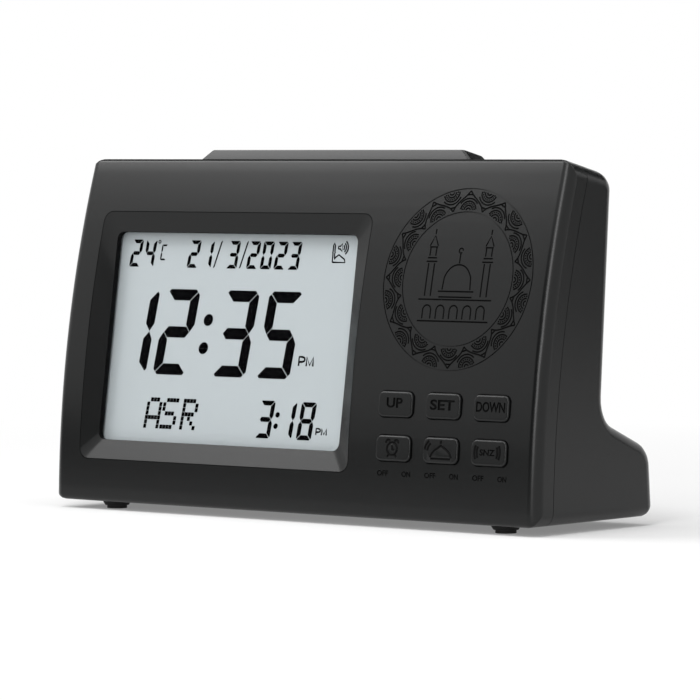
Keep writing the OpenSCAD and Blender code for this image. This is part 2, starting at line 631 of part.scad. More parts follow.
module speaker_gasket() color("#1c1c1c") turned([[speaker_dia / 2 - rim_w, -wall], [speaker_dia / 2, -wall],
    [speaker_dia / 2, speaker_y], [speaker_dia / 2 - rim_w, speaker_y]]);
module speaker_screws() color("silver") on_rear(speaker_x, speaker_z) mirror([0, 1, 0]) at(clamp_places)
    screw(board_screw_dia, 2.8, -speaker_y + rim_t, clamp_r + 1);

// ---- battery bay ----

cell_gap = 0.4;
bay_wall = 1.5;
bay_d = 2 * cell_dia + 3 * cell_gap;
bay_y = foot_y - bay_back;
bay_low = foot_h + wall;
cell_z = bay_low + 0.3 + cell_dia / 2;
bay_high = cell_z + cell_dia / 2 + 0.5;
door_w = bay_l + 2 * bay_wall + 1;
door_fit = 0.3;                    // around the door
door_clear = 0.15;                 // above and below its tongues
tongue_w = 2;
ledge_t = wall / 2;                // of the case under a tongue
door_y = bay_y - bay_d / 2 - 0.2;  // front edge of the door
door_high = foot_h + door_lip_h;
// The channel for the lip starts before the rounding inside the case's rear bottom corner.
lip_y = foot_y - max(corner_r[1], wall + door_fit) - (door_lip_h + 1) * tan(foot_lean) - door_fit;
function cell_y(s) = bay_y + s * (cell_dia + cell_gap) / 2;

// The wall's own profile from the door's front edge to the top of its lip.
module door_section(low) intersection() {
    difference() {
        polygon(case_profile(0, 0));
        polygon(case_profile(wall, 0));
    }
    translate([door_y, low]) square([body_d, door_high - low]);
}
// It slides out to the back; a tongue along each side runs above a ledge of the case.
module battery_door() color(black) difference() {
    for (s = [[door_w, 0], [door_w + 2 * tongue_w, foot_h + ledge_t + door_clear]])
        translate([-s[0] / 2, 0, 0]) rotate([90, 0, 90]) linear_extrude(s[0]) door_section(s[1]);
    for (i = [0:4]) translate([-10, foot_y - 9 - 2.2 * i, foot_h - 1]) cube([20, 1.1, 1.5]);
}
module door_opening() {
    for (s = [[door_w, -1], [door_w + 2 * tongue_w, foot_h + ledge_t]])
            translate([-s[0] / 2 - door_fit, 0, s[1]]) {
        translate([0, door_y - door_fit, 0]) cube([s[0] + 2 * door_fit, body_d, bay_low + door_clear - s[1]]);
        translate([0, lip_y, 0]) cube([s[0] + 2 * door_fit, body_d, door_high + door_fit - s[1]]);
    }
}

plate_t = 0.4;
plate_x = bay_l / 2;               // the plates stand against the bay's ends
cell_shift = plate_x - plate_t - cell_l / 2;
module battery_cell(s) color("#35506e") translate([s * cell_shift, cell_y(s), cell_z])
        rotate([0, s * 90, 0]) {
    translate([0, 0, -cell_l / 2]) cylinder(r = cell_dia / 2, h = cell_l - 1.3);
    translate([0, 0, cell_l / 2 - 1.4]) cylinder(r = 2.6, h = 1.4);
}
module battery_cell_front() battery_cell(-1);
module battery_cell_rear() battery_cell(1);
module battery_plates() color("silver") for (s = [-1, 1], e = [-1, 1])
    translate([e * (plate_x - plate_t / 2), cell_y(s), cell_z])
        cube([plate_t, cell_dia - 4.5, cell_dia - 3.5], center = true);
bay_spring_r = 4;
bay_wire_r = 0.35;
// A cell's flat end is pressed by a coil, which stands on the plate there.
module battery_springs() color("silver") for (s = [-1, 1])
    translate([-s * (plate_x - plate_t), cell_y(s), cell_z]) rotate([0, s * 90, 0])
        coil(bay_spring_r, bay_wire_r, 2 * cell_shift, 3);

// ---- shells ----

screw_places = [for (x = [-1, 1], z = [foot_h + screw_low, body_h - screw_high])
    [x * (body_w / 2 - screw_in), z]];
case_post_r = 3.2;
tower_r = 4;
function post_end(z) = front_at(z) + front_shell_d + 2.5;      // where the two halves' posts meet
tower_floor = 2.6;

lip_l = 1.8;                       // of the rear shell's lip inside the front shell
lip_fit = 0.1;

module front_shell() color(black) {
    difference() {
        case_block(0, 5);
        case_block(wall, 3);
        behind_front(front_shell_d - seam_gap / 2);
        intersection() {
            case_block(wall / 2, 3);
            behind_front(front_shell_d - lip_l - seam_gap);
        }
        on_panel() slab(bezel_w + 2 * bezel_fit, bezel_h + 2 * bezel_fit, 3.2 + bezel_fit, -12, 12);
        on_keys() for (k = [0:5]) translate([key_place(k).x, 0, key_place(k).y])
            slab(key_w + 2 * key_gap, key_h + 2 * key_gap, key_r + key_gap, -5, wall + 2);
        snooze_slot();
        difference() {
            on_medal() difference() {
                rod(medal_r, -6, 6);
                rod(medal_in_r, -7, 7);
            }
            behind_front(medal_depth);
        }
    }
    // Stakes that hold the display frame, with their melted heads.
    on_panel() for (p = stake_places) translate([p.x, 0, p.y]) {
        rod(stake_r, panel_front(p.y, wall * 0.6), bezel_back + 0.1);
        rod(stake_r * 1.8, bezel_back + 0.1, bezel_back + 1);
    }
    on_keys() at(key_posts) post(key_post_r, board_screw_dia * 0.4, wall / 2, key_board_y, wall / 2 + 0.5);
    for (p = screw_places) translate([p.x, 0, p.y])
        post(case_post_r, case_screw_dia * 0.42, front_at(p.y) + wall / 2, post_end(p.y), wall);
    // Brackets that guide the snooze bar and carry its switch.
    on_top() for (x = [-guide_x, 0, guide_x]) difference() {
        bracket(x);
        if (x != 0) translate([x, bar_mid, shelf_z - shelf_t - 1])
            cylinder(r = guide_r + guide_fit, h = shelf_t + 2);
    }
}
// A shelf from the inside of the front, with a gusset under it.
module bracket(x) {
    near = wall * 0.3;
    translate([x - 6, near, shelf_z - shelf_t]) cube([12, bar_mid + 5 - near, shelf_t]);
    translate([x + 6, 0, 0]) rotate([0, -90, 0]) linear_extrude(1.6) polygon([[shelf_z - shelf_t / 2, near],
        [shelf_z - shelf_t / 2, bar_mid + 4], [shelf_z - shelf_t, bar_mid + 4], [shelf_z - 4.5, near]]);
}

rib_t = 1.4;
// A rib between a tower and the case's side wall.
module tower_rib(p) {
    l = screw_in - wall / 2 - tower_r + 0.8;
    translate([sign(p.x) * (tower_r - 0.8 + l / 2), post_end(p.y) + 2, 0]) translate([-l / 2, 0, -rib_t / 2])
        cube([l, outer_rear(p.y) - edge_r[2] - wall / 2 - post_end(p.y) - 2, rib_t]);
}
function outer_rear(z) = z < foot_top ? foot_y - (z - foot_h) * tan(foot_lean) : rear_at(z);
module rear_shell() color(black) difference() {
    union() {
        difference() {
            union() {
                intersection() {
                    case_block(0, 5);
                    behind_front(front_shell_d + seam_gap / 2);
                }
                intersection() {
                    case_block(wall / 2 + lip_fit, 3);
                    behind_front(front_shell_d - lip_l);
                }
            }
            case_block(wall, 3);
        }
        // Towers that meet the front shell's posts, with a rib from each to the floor or the side.
        for (p = screw_places) translate([p.x, 0, p.y]) {
            rod(tower_r, post_end(p.y) + 0.1, outer_rear(p.y) - wall / 2);
            tower_rib(p);
        }
        on_rear(speaker_x, speaker_z) at(clamp_places) rod(clamp_r, speaker_y - rim_t + 0.1, -wall / 2);
        battery_bay();
    }
    snooze_slot();
    door_opening();
    on_rear(speaker_x, speaker_z) {
        grille();
        at(clamp_places) rod(0.8, speaker_y - rim_t - 1, -wall);
    }
    for (p = screw_places) translate([p.x, 0, p.y]) {
        rod(tower_r - 1, post_end(p.y) + tower_floor, foot_y + 5);
        rod(case_screw_dia / 2 + 0.15, post_end(p.y) - 1, foot_y);
    }
}
module grille() {
    rod(grille_hole / 2, -wall - 0.5, 2);
    for (k = [1:grille_rings], a = [0:60 / k:359]) rotate([0, a, 0]) translate([k * grille_pitch, 0, 0])
        rod(grille_hole / 2, -wall - 0.5, 2);
}
// A box open to the door, on two feet that bridge the door's tongues.
module battery_bay() {
    floor_z = bay_low + door_clear;
    foot_out = door_w / 2 + tongue_w + door_fit + 2.4;
    difference() {
        union() {
            translate([-bay_l / 2 - bay_wall, bay_y - bay_d / 2 - bay_wall, floor_z])
                cube([bay_l + 2 * bay_wall, bay_d + 2 * bay_wall, bay_high + bay_wall - floor_z]);
            translate([-foot_out, bay_y - bay_d / 2 - bay_wall, floor_z])
                cube([2 * foot_out, bay_d + 2 * bay_wall, 1.3]);
            for (x = [-foot_out, foot_out - wall])
                translate([x, bay_y - bay_d / 2 - bay_wall, bay_low - wall / 2])
                    cube([wall, bay_d + 2 * bay_wall, wall]);
        }
        translate([-bay_l / 2, bay_y - bay_d / 2, foot_h]) cube([bay_l, bay_d, bay_high - foot_h]);
    }
}

module case_screws() color("silver") for (p = screw_places) translate([p.x, 0, p.y])
    screw(case_screw_dia, post_end(p.y) + tower_floor - front_at(p.y) - wall - 1.5,
        post_end(p.y) + tower_floor);

// ---- feet ----

foot_places = [for (s = [-1, 1], p = [[foot_x, front_y + foot_front_y], [foot_rear_x, foot_y - foot_rear_y]])
    [s * p.x, p.y]];
module feet() color("#151515") for (p = foot_places) translate([p.x, p.y, 0]) rotate_extrude()
    polygon([[0, foot_h], [foot_dia / 2, foot_h], [foot_dia / 2, foot_h - 0.7], [foot_dia / 2 - 0.6, 1],
        [pad_dia / 2, 0.9], [pad_dia / 2, 0], [pad_dia / 2 - 0.9, 0], [pad_dia / 2 - 0.9, 0.5], [0, 0.5]]);

front_shell();
rear_shell();
display_bezel();
display_window();
lcd_panel();
lcd_backlight();
lcd_frame();
zebra_strips();
main_board();
clock_chip();
quartz_crystal();
buffer_capacitors();
board_plugs();
board_screws();
key_board();
key_board_screws();
key_mat();
key_up();
key_set();
key_down();
key_alarm();
key_azan();
key_snooze();
dome_up();
dome_set();
dome_down();
dome_alarm();
dome_azan();
dome_snooze();
snooze_bar();
snooze_springs();
snooze_board();
snooze_dome();
speaker_frame();
speaker_magnet();
speaker_cone();
speaker_gasket();
speaker_screws();
battery_door();
battery_cell_front();
battery_cell_rear();
battery_springs();
battery_plates();
case_screws();
feet();
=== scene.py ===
"""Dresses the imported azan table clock: finishes, display, legends and ornament, with a studio round it."""

import logging
import math
from contextlib import contextmanager
from dataclasses import dataclass, field
from enum import Enum
from typing import Callable, ClassVar, Iterable, Iterator, Sequence

import bmesh
import bpy
from mathutils import Matrix, Vector


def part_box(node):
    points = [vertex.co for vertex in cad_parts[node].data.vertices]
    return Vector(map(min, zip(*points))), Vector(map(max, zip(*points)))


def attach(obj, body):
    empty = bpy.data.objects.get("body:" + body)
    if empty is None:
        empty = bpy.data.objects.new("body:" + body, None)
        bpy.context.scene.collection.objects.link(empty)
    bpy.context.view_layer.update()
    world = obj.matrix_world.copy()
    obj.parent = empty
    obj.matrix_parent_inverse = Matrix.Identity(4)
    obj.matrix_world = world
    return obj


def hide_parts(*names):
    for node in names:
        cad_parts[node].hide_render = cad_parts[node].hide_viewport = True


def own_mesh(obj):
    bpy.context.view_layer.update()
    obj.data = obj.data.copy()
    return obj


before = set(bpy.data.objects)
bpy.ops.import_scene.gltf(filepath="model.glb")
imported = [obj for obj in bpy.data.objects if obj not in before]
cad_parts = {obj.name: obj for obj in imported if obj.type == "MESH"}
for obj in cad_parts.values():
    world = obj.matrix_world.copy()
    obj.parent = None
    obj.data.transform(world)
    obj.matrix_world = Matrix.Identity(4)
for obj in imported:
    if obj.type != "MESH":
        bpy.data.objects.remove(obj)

log = logging.getLogger("azan_clock")
ops = bpy.ops

MM = 0.001
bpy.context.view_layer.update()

# Sizes shared with the part's source, in millimetres.
FRONT_R = 348.7
FRONT_LOW_Z = -1.5
FRONT_Y = -30.431
AXIS_Y = FRONT_Y + FRONT_R
COLUMN_X = 59.6
BEZEL_X = -30.1
BEZEL_Z = 54.65
PANEL_TILT = math.radians(8.5)
# How deep the display's rim lies, square to its panel.
RIM_DEPTH = 3.3
KEYS_Z = 30.55
MEDAL_Z = 74.7
TOP_Z = 110.3
TOP_LEAN = math.radians(12)

# Angle in degrees above which an edge of a moulding stays sharp.
CREASE = 35
# How much bolder than the plain face an engraved word is, in letter heights.
BOLD = 0.03
# Points nearer than this are one: of a mark or cutter in millimetres, of a CAD node in metres.
WELD = 1e-4
WELD_M = 2e-6
# Faces of a CAD node that bend less than this, in radians, are one.
FLAT_BEND = math.radians(0.05)
# Clouds per metre in a mottled colour.
MOTTLE_SCALE = 90.0
WHITE = (1.0, 1.0, 1.0, 1.0)


def front_at(z: float, depth: float = 0.0) -> float:
    """Returns the Y of the case's front, or of a surface behind it.

    Args:
        z: Height above the table, in millimetres.
        depth: How far the surface lies behind the front, in millimetres.

    Returns:
        The Y in millimetres.
    """
    return AXIS_Y - math.sqrt((FRONT_R - depth) ** 2 - (z - FRONT_LOW_Z) ** 2)


def front_lean(z: float) -> float:
    """Returns how far the front leans back at a height, in radians."""
    return math.asin((z - FRONT_LOW_Z) / FRONT_R)


def place(x: float, y: float, z: float, lean: float) -> Matrix:
    """Makes the frame of a leaning surface: X and Z lie in it and +Y goes inwards.

    Args:
        x: Right of the middle, in millimetres.
        y: Depth, in millimetres.
        z: Height, in millimetres.
        lean: Backward lean in radians.

    Returns:
        The matrix from local millimetres to the row frame's metres.
    """
    return Matrix.Translation(Vector((x, y, z)) * MM) @ Matrix.Rotation(-lean, 4, "X") @ Matrix.Scale(MM, 4)


RIM_Y = front_at(BEZEL_Z) + RIM_DEPTH / math.cos(PANEL_TILT)
ON_PANEL = place(BEZEL_X, RIM_Y, BEZEL_Z, PANEL_TILT)
ON_KEYS = place(COLUMN_X, front_at(KEYS_Z), KEYS_Z, front_lean(KEYS_Z))
ON_MEDAL = place(COLUMN_X, front_at(MEDAL_Z), MEDAL_Z, front_lean(MEDAL_Z))
# Its X and Y lie in the case's top and its +Z goes out.
ON_TOP = (
    Matrix.Translation(Vector((0, front_at(TOP_Z), TOP_Z)) * MM)
    @ Matrix.Rotation(-TOP_LEAN, 4, "X")
    @ Matrix.Scale(MM, 4)
)
# Turns a piece that was modelled lying flat, face up, to lie in such a surface and face outwards.
FLAT = Matrix.Rotation(math.radians(90), 4, "X")

Point = tuple[float, float]
Triple = tuple[float, float, float]
Piece = bpy.types.Object
Tree = bpy.types.NodeTree
Node = bpy.types.Node
Socket = bpy.types.NodeSocket


class Kind(Enum):
    """What an edit mode selection holds."""

    EDGE = "EDGE"
    FACE = "FACE"


# ---- finishes ----


def linear(code: str) -> tuple[float, float, float, float]:
    """Turns an sRGB colour code such as #2b2c2c into the linear colour that a shader takes.

    Args:
        code: The code.

    Returns:
        Red, green, blue and 1.
    """
    parts = [int(code[i : i + 2], 16) / 255 for i in (1, 3, 5)]
    red, green, blue = (p / 12.92 if p <= 0.04045 else ((p + 0.055) / 1.055) ** 2.4 for p in parts)
    return (red, green, blue, 1.0)


def add_node(tree: Tree, kind: str, links: dict | None = None, **settings: object) -> Node:
    """Adds one shader node.

    Args:
        tree: The node tree.
        kind: The node's type name.
        links: Input name or number to the node or output socket that feeds it, or to a value.
        **settings: Attributes of the node.

    Returns:
        The new node.
    """
    node = tree.nodes.new(kind)
    for name, value in settings.items():
        setattr(node, name, value)
    for name, value in (links or {}).items():
        if isinstance(value, Node):
            value = value.outputs[0]
        if isinstance(value, Socket):
            tree.links.new(value, node.inputs[name])
        else:
            node.inputs[name].default_value = value
    return node


def blank_tree(owner: bpy.types.ID) -> Tree:
    """Switches on the nodes of a material or world and empties its tree.

    Args:
        owner: The material or world.

    Returns:
        The tree.
    """
    owner.use_nodes = True
    owner.node_tree.nodes.clear()
    return owner.node_tree


@dataclass(frozen=True)
class Grain:
    """A fine relief over a surface: the size and height of its bumps and how much they spread the gloss."""

    size_mm: float
    height_mm: float
    roughness_spread: float


@dataclass(frozen=True)
class Finish:
    """One real material: its colour, gloss and grain."""

    name: str
    colour: str
    roughness: float
    grain: Grain
    metallic: float = 0.0
    ior: float = 1.5
    mottle: float = 0.0
    coat: float = 0.0
    coat_roughness: float = 0.08
    alpha: float = 1.0
    specular: float = 0.5

    def build(self) -> bpy.types.Material:
        """Makes the material, once.

        Returns:
            The material, shared by every piece with this finish.
        """
        known = bpy.data.materials.get(self.name)
        if known:
            return known
        material = bpy.data.materials.new(self.name)
        tree = blank_tree(material)
        values = {
            "Base Color": linear(self.colour),
            "Roughness": self.roughness,
            "Metallic": self.metallic,
            "IOR": self.ior,
            "Alpha": self.alpha,
            "Specular IOR Level": self.specular,
            "Coat Weight": self.coat,
            "Coat Roughness": self.coat_roughness,
        }
        shader = add_node(tree, "ShaderNodeBsdfPrincipled", values)
        add_node(tree, "ShaderNodeOutputMaterial", {0: shader})
        self._add_grain(tree, shader)
        return material

    def _add_grain(self, tree: Tree, shader: Node) -> None:
        """Adds the grain's bump, gloss spread and mottled colour to the shader.

        Args:
            tree: The material's tree.
            shader: Its shader.
        """
        place_in = add_node(tree, "ShaderNodeTexCoord")
        where = add_node(tree, "ShaderNodeMapping", {"Vector": place_in.outputs["Object"]})
        fine = {"Vector": where, "Scale": 1 / (self.grain.size_mm * MM), "Detail": 3.0, "Roughness": 0.6}
        noise = add_node(tree, "ShaderNodeTexNoise", fine)
        relief = {"Height": noise, "Strength": 1.0, "Distance": self.grain.height_mm * MM}
        bump = add_node(tree, "ShaderNodeBump", relief)
        tree.links.new(bump.outputs[0], shader.inputs["Normal"])
        spread = {
            "Value": noise,
            "To Min": self.roughness - self.grain.roughness_spread,
            "To Max": self.roughness + self.grain.roughness_spread,
        }
        gloss = add_node(tree, "ShaderNodeMapRange", spread)
        tree.links.new(gloss.outputs[0], shader.inputs["Roughness"])
        if self.mottle:
            coarse = {"Vector": where, "Scale": MOTTLE_SCALE, "Detail": 2.0}
            cloud = add_node(tree, "ShaderNodeTexNoise", coarse)
            base = linear(self.colour)
            dark = tuple(c * (1 - self.mottle) for c in base[:3]) + (1.0,)
            light = tuple(min(1.0, c * (1 + self.mottle)) for c in base[:3]) + (1.0,)
            mix = add_node(tree, "ShaderNodeMix", {0: cloud, 6: dark, 7: light}, data_type="RGBA")
            tree.links.new(mix.outputs[2], shader.inputs["Base Color"])


# A real grain on these parts is 0.05 to 0.2 mm across and wouldn't show, so each is drawn coarser, at the
# size that its Grain gives.
# ABS, moulded in a spark-eroded tool: an even, very fine matt grain with a soft sheen.
CASE_ABS = Finish(
    "moulded_abs_black", "#0e0f0f", 0.25, Grain(0.5, 0.006, 0.04), ior=1.52, specular=0.29, mottle=0.06
)
# The same plastic where hands polish it.
KEY_ABS = Finish(
    "moulded_abs_keys", "#0d0e0e", 0.24, Grain(0.5, 0.004, 0.04), ior=1.52, specular=0.29, mottle=0.05
)
# The bottom of an engraved line, where the tool left the same plastic rough; its darker colour is painted
# shade, standing in for the shadow in the groove.
PAINTED_SHADE_ABS = Finish("moulded_abs_cut", "#040404", 0.7, Grain(0.4, 0.01, 0.05), ior=1.52, specular=0.1)
# Clear acrylic, polished: it shows as a faint reflection only.
WINDOW_ACRYLIC = Finish("clear_acrylic", "#0b0c0d", 0.03, Grain(3.0, 0.0002, 0.01), ior=1.49, alpha=0.03)
# Liquid crystal glass with a reflective polariser: satin grey.
LCD_GREY = Finish("lcd_polariser_grey", "#b9c1c4", 0.38, Grain(0.4, 0.001, 0.03), mottle=0.012)
# Switched-on liquid crystal: nearly black and flat.
LCD_INK = Finish("liquid_crystal_dark", "#040405", 0.6, Grain(0.5, 0.0005, 0.02), specular=0.0)
# Milky acrylic, polished: a pale sheet with a soft shine, which spreads the backlight.
LIGHT_GUIDE = Finish("acrylic_light_guide", "#f2f5f0", 0.15, Grain(1.2, 0.004, 0.03), ior=1.49)
# ABS, moulded and unpainted: off-white and half matt.
WHITE_ABS = Finish("moulded_abs_white", "#e9e9e4", 0.45, Grain(0.5, 0.004, 0.05), mottle=0.02)
# Rubber, moulded: nearly black and dull.
RUBBER_DARK = Finish("rubber_black", "#141414", 0.75, Grain(0.6, 0.01, 0.06), mottle=0.1)
# Silicone, moulded: milky grey with a soft shine.
SILICONE = Finish("silicone_grey", "#c9c4b8", 0.55, Grain(0.8, 0.006, 0.05), ior=1.41, mottle=0.03)
# The conductive pill under a dome: silicone filled with carbon, matt.
CARBON = Finish("carbon_silicone", "#151515", 0.7, Grain(0.4, 0.003, 0.05))
# Glass-fibre board under solder mask: dark green and glossy, a little cloudy.
SOLDER_MASK = Finish("solder_mask_green", "#1f5a33", 0.3, Grain(1.5, 0.004, 0.06), coat=0.4, mottle=0.12)
# Epoxy, dripped over the clock's chip and cured: a glossy, uneven black.
RESIN_BLACK = Finish("potting_resin_black", "#0d0d0e", 0.18, Grain(2.5, 0.02, 0.04), coat=0.5)
# Steel, zinc plated: bright grey metal with a fine satin grain.
STEEL = Finish("zinc_plated_steel", "#b8babb", 0.28, Grain(0.8, 0.003, 0.06), metallic=1.0)
# Spring steel, nickel plated: a warmer and brighter metal.
NICKEL = Finish("nickel_plated_spring_steel", "#c5c4bf", 0.22, Grain(0.6, 0.002, 0.05), metallic=1.0)
# PVC, shrunk round a capacitor: smooth dark blue.
SLEEVE = Finish("pvc_sleeve_blue", "#20304a", 0.3, Grain(1.0, 0.004, 0.04), mottle=0.08)
# Ferrite, pressed and fired: dull dark grey.
FERRITE = Finish("ferrite_grey", "#3c3d3f", 0.6, Grain(0.7, 0.02, 0.08), mottle=0.12)
# Paper pulp, pressed: black, dull and fibrous.
CONE_PAPER = Finish("pressed_paper_black", "#1e1c1a", 0.85, Grain(0.9, 0.04, 0.06), mottle=0.15)
# PVC, shrunk over a cell and left plain: glossy blue.
CELL_SLEEVE = Finish("cell_sleeve_blue", "#35506e", 0.25, Grain(1.5, 0.003, 0.03), coat=0.5, mottle=0.04)


# ---- modelling by hand ----


def link(piece: Piece) -> None:
    """Puts an object into the scene."""
    bpy.context.scene.collection.objects.link(piece)


def deselect() -> None:
    """Leaves nothing selected and no object in edit mode."""
    if bpy.context.object and bpy.context.object.mode != "OBJECT":
        ops.object.mode_set(mode="OBJECT")
    ops.object.select_all(action="DESELECT")


def pick(piece: Piece) -> None:
    """Selects one object alone and makes it active.

    Args:
        piece: The object.
    """
    deselect()
    piece.select_set(True)
    bpy.context.view_layer.objects.active = piece


@contextmanager
def edit(piece: Piece) -> Iterator[None]:
    """Opens a piece in edit mode with nothing selected, and closes it after.

    Args:
        piece: The piece.

    Yields:
        Nothing, while the piece is open.
    """
    pick(piece)
    ops.object.mode_set(mode="EDIT")
    ops.mesh.select_all(action="DESELECT")
    yield
    ops.object.mode_set(mode="OBJECT")


def choose(piece: Piece, kind: Kind, test: Callable[[Vector, Vector], bool]) -> None:
    """Selects, in edit mode, the edges or faces that pass a test.

    Args:
        piece: The piece that is open in edit mode.
        kind: What is selected.
        test: Takes the middle and a face's normal or an edge's direction, and says whether it is selected.
    """
    ops.mesh.select_mode(type=kind.value)
    ops.mesh.select_all(action="DESELECT")
    mesh = bmesh.from_edit_mesh(piece.data)
    if kind is Kind.FACE:
        for face in mesh.faces:
            face.select_set(test(face.calc_center_median(), face.normal))
    else:
        for edge in mesh.edges:
            a, b = edge.verts
            edge.select_set(test((a.co + b.co) / 2, (b.co - a.co).normalized()))
    mesh.select_flush_mode()
    bmesh.update_edit_mesh(piece.data)


def apply_modifier(piece: Piece, kind: str, **settings: object) -> None:
    """Adds a modifier and applies it.

    Args:
        piece: The mesh object.
        kind: The modifier's type name.
        **settings: Attributes of the modifier.
    """
    pick(piece)
    modifier = piece.modifiers.new(kind.lower(), kind)
    for name, value in settings.items():
        setattr(modifier, name, value)
    ops.object.modifier_apply(modifier=modifier.name)


def merge(piece: Piece) -> None:
    """Merges the doubles of a mark or cutter and points its faces outwards.

    Args:
        piece: The mark or cutter.
    """
    with edit(piece):
        ops.mesh.select_all(action="SELECT")
        ops.mesh.remove_doubles(threshold=WELD)
        ops.mesh.normals_make_consistent(inside=False)


def extrude(height: float) -> None:
    """Extrudes what is selected in edit mode along Z."""
    ops.mesh.extrude_region_move(TRANSFORM_OT_translate={"value": (0, 0, height)})


def thicken(height: float) -> None:
    """Gives the flat mesh that is open in edit mode a thickness and points its faces outwards.

    Args:
        height: The thickness, along Z.
    """
    ops.mesh.select_all(action="SELECT")
    extrude(height)
    ops.mesh.select_all(action="SELECT")
    ops.mesh.normals_make_consistent(inside=False)


def smooth(piece: Piece, degrees: float = CREASE) -> None:
    """Shades a piece smooth with hard edges above an angle, and weighs its normals by face area.

    Args:
        piece: The piece.
        degrees: The angle.
    """
    pick(piece)
    ops.object.shade_smooth_by_angle(angle=math.radians(degrees))
    apply_modifier(piece, "WEIGHTED_NORMAL", keep_sharp=True, weight=50)


def set_down(piece: Piece, where: Matrix) -> None:
    """Moves a piece's place into its mesh, so that its object sits at the origin."""
    piece.data.transform(where @ piece.matrix_world)
    piece.matrix_world = Matrix.Identity(4)


def join(pieces: Sequence[Piece], name: str) -> Piece:
    """Joins pieces into one.

    Args:
        pieces: The pieces, at least one.
        name: The name of the joined piece.

    Returns:
        The joined piece.
    """
    deselect()
    for piece in pieces:
        piece.select_set(True)
    bpy.context.view_layer.objects.active = pieces[0]
    if len(pieces) > 1:
        ops.object.join()
    joined = bpy.context.view_layer.objects.active
    joined.name = joined.data.name = name
    return joined


def copy_of(piece: Piece, where: Matrix) -> Piece:
    """Copies a piece, with a mesh of its own, to another place; a mirrored copy is turned right way out.

    Args:
        piece: The pattern.
        where: What moves its mesh there.

    Returns:
        The copy.
    """
    twin = piece.copy()
    twin.data = piece.data.copy()
    link(twin)
    twin.data.transform(where)
    if where.determinant() < 0:
        twin.data.flip_normals()
    return twin


def discard(pieces: Iterable[Piece]) -> None:
    """Deletes pieces that only served as patterns or cutters."""
    for piece in pieces:
        bpy.data.objects.remove(piece, do_unlink=True)


def cut_plate(low: Point, high: Point, cuts: Sequence[tuple[Point, Point]], height: float) -> Piece:
    """Makes a flat plate: a rectangle from which each cut takes what lies beyond a line.

    Args:
        low: Lower left corner.
        high: Upper right corner.
        cuts: A point of each line and the direction in which all goes.
        height: Thickness.

    Returns:
        The plate, on the ground plane.
    """
    deselect()
    ops.mesh.primitive_plane_add(size=1, location=((low[0] + high[0]) / 2, (low[1] + high[1]) / 2, 0))
    plate = bpy.context.object
    plate.scale = (high[0] - low[0], high[1] - low[1], 1)
    ops.object.transform_apply()
    with edit(plate):
        for point, beyond in cuts:
            ops.mesh.select_all(action="SELECT")
            ops.mesh.bisect(plane_co=(*point, 0), plane_no=(*beyond, 0), clear_outer=True)
        thicken(height)
    return plate


def disc(radius: float, height: float, middle: Point, hole: float = 0, steps: int = 28) -> Piece:
    """Makes a flat disc, or a ring where it has a hole.

    Args:
        radius: Outer radius.
        height: Thickness.
        middle: Its middle.
        hole: Radius of the hole, or 0.
        steps: Corners of the rim.

    Returns:
        The disc, on the ground plane.
    """
    deselect()
    ops.mesh.primitive_circle_add(vertices=steps, radius=radius, fill_type="NGON", location=(*middle, 0))
    piece = bpy.context.object
    ops.object.transform_apply()
    with edit(piece):
        ops.mesh.select_all(action="SELECT")
        if hole:
            ops.mesh.inset(thickness=radius - hole)
            ops.mesh.delete(type="FACE")
        thicken(height)
    return piece


def word(text: str, low: Point, high: Point, height: float) -> Piece:
    """Sets a word in bold letters, stretched to fill a rectangle.

    Args:
        text: The word.
        low: Lower left corner of the rectangle.
        high: Upper right corner.
        height: Thickness of the letters, half of it on each side of the ground plane.

    Returns:
        The word as one mesh.
    """
    deselect()
    ops.object.text_add()
    letters = bpy.context.object
    letters.data.body = text
    letters.data.resolution_u = 4
    letters.data.extrude = height / 2
    letters.data.offset = BOLD
    ops.object.convert(target="MESH")
    letters = bpy.context.object
    merge(letters)
    xs, ys = zip(*((v.co.x, v.co.y) for v in letters.data.vertices))
    wide, tall = (high[0] - low[0]) / (max(xs) - min(xs)), (high[1] - low[1]) / (max(ys) - min(ys))
    letters.data.transform(
        Matrix.Translation((low[0], low[1], 0))
        @ Matrix.Diagonal((wide, tall, 1, 1))
        @ Matrix.Translation((-min(xs), -min(ys), 0))
    )
    return letters


def strokes(lines: Sequence[Sequence[Point]], width: float, height: float, lift: float) -> Piece:
    """Draws lines as closed bars with a lozenge section, for cutting grooves or for thin marks.

    Args:
        lines: The points of each line.
        width: Width of a line.
        height: Height of a line, half of it on each side of the ground plane.
        lift: How far the lines are raised.

    Returns:
        All the lines as one mesh.
    """
    path = bpy.data.curves.new("lines", "CURVE")
    path.dimensions = "3D"
    for line in lines:
        spline = path.splines.new("POLY")
        spline.points.add(len(line) - 1)
        for knot, (x, y) in zip(spline.points, line):
            knot.co = (x, y, 0, 1)
    path.bevel_depth = width / 2
    path.bevel_resolution = 0
    path.use_fill_caps = True
    drawn = bpy.data.objects.new("lines", path)
    link(drawn)
    pick(drawn)
    ops.object.convert(target="MESH")
    drawn = bpy.context.object
    drawn.data.transform(Matrix.Translation((0, 0, lift)) @ Matrix.Diagonal((1, 1, height / width, 1)))
    merge(drawn)
    return drawn


def arc(middle: Point, radius: float, start: float, end: float, steps: int = 10) -> list[Point]:
    """Returns points along an arc, with its angles in degrees."""
    turns = (math.radians(start + (end - start) * i / steps) for i in range(steps + 1))
    return [(middle[0] + radius * math.cos(t), middle[1] + radius * math.sin(t)) for t in turns]


def moved(line: Iterable[Point], by: Point) -> list[Point]:
    """Returns a line moved sideways."""
    return [(x + by[0], y + by[1]) for x, y in line]


def drape(piece: Piece) -> None:
    """Lays a flat piece on the front's upright curve, which falls away above and below its middle."""
    for vertex in piece.data.vertices:
        vertex.co.z -= FRONT_R - math.sqrt(FRONT_R**2 - vertex.co.y**2)


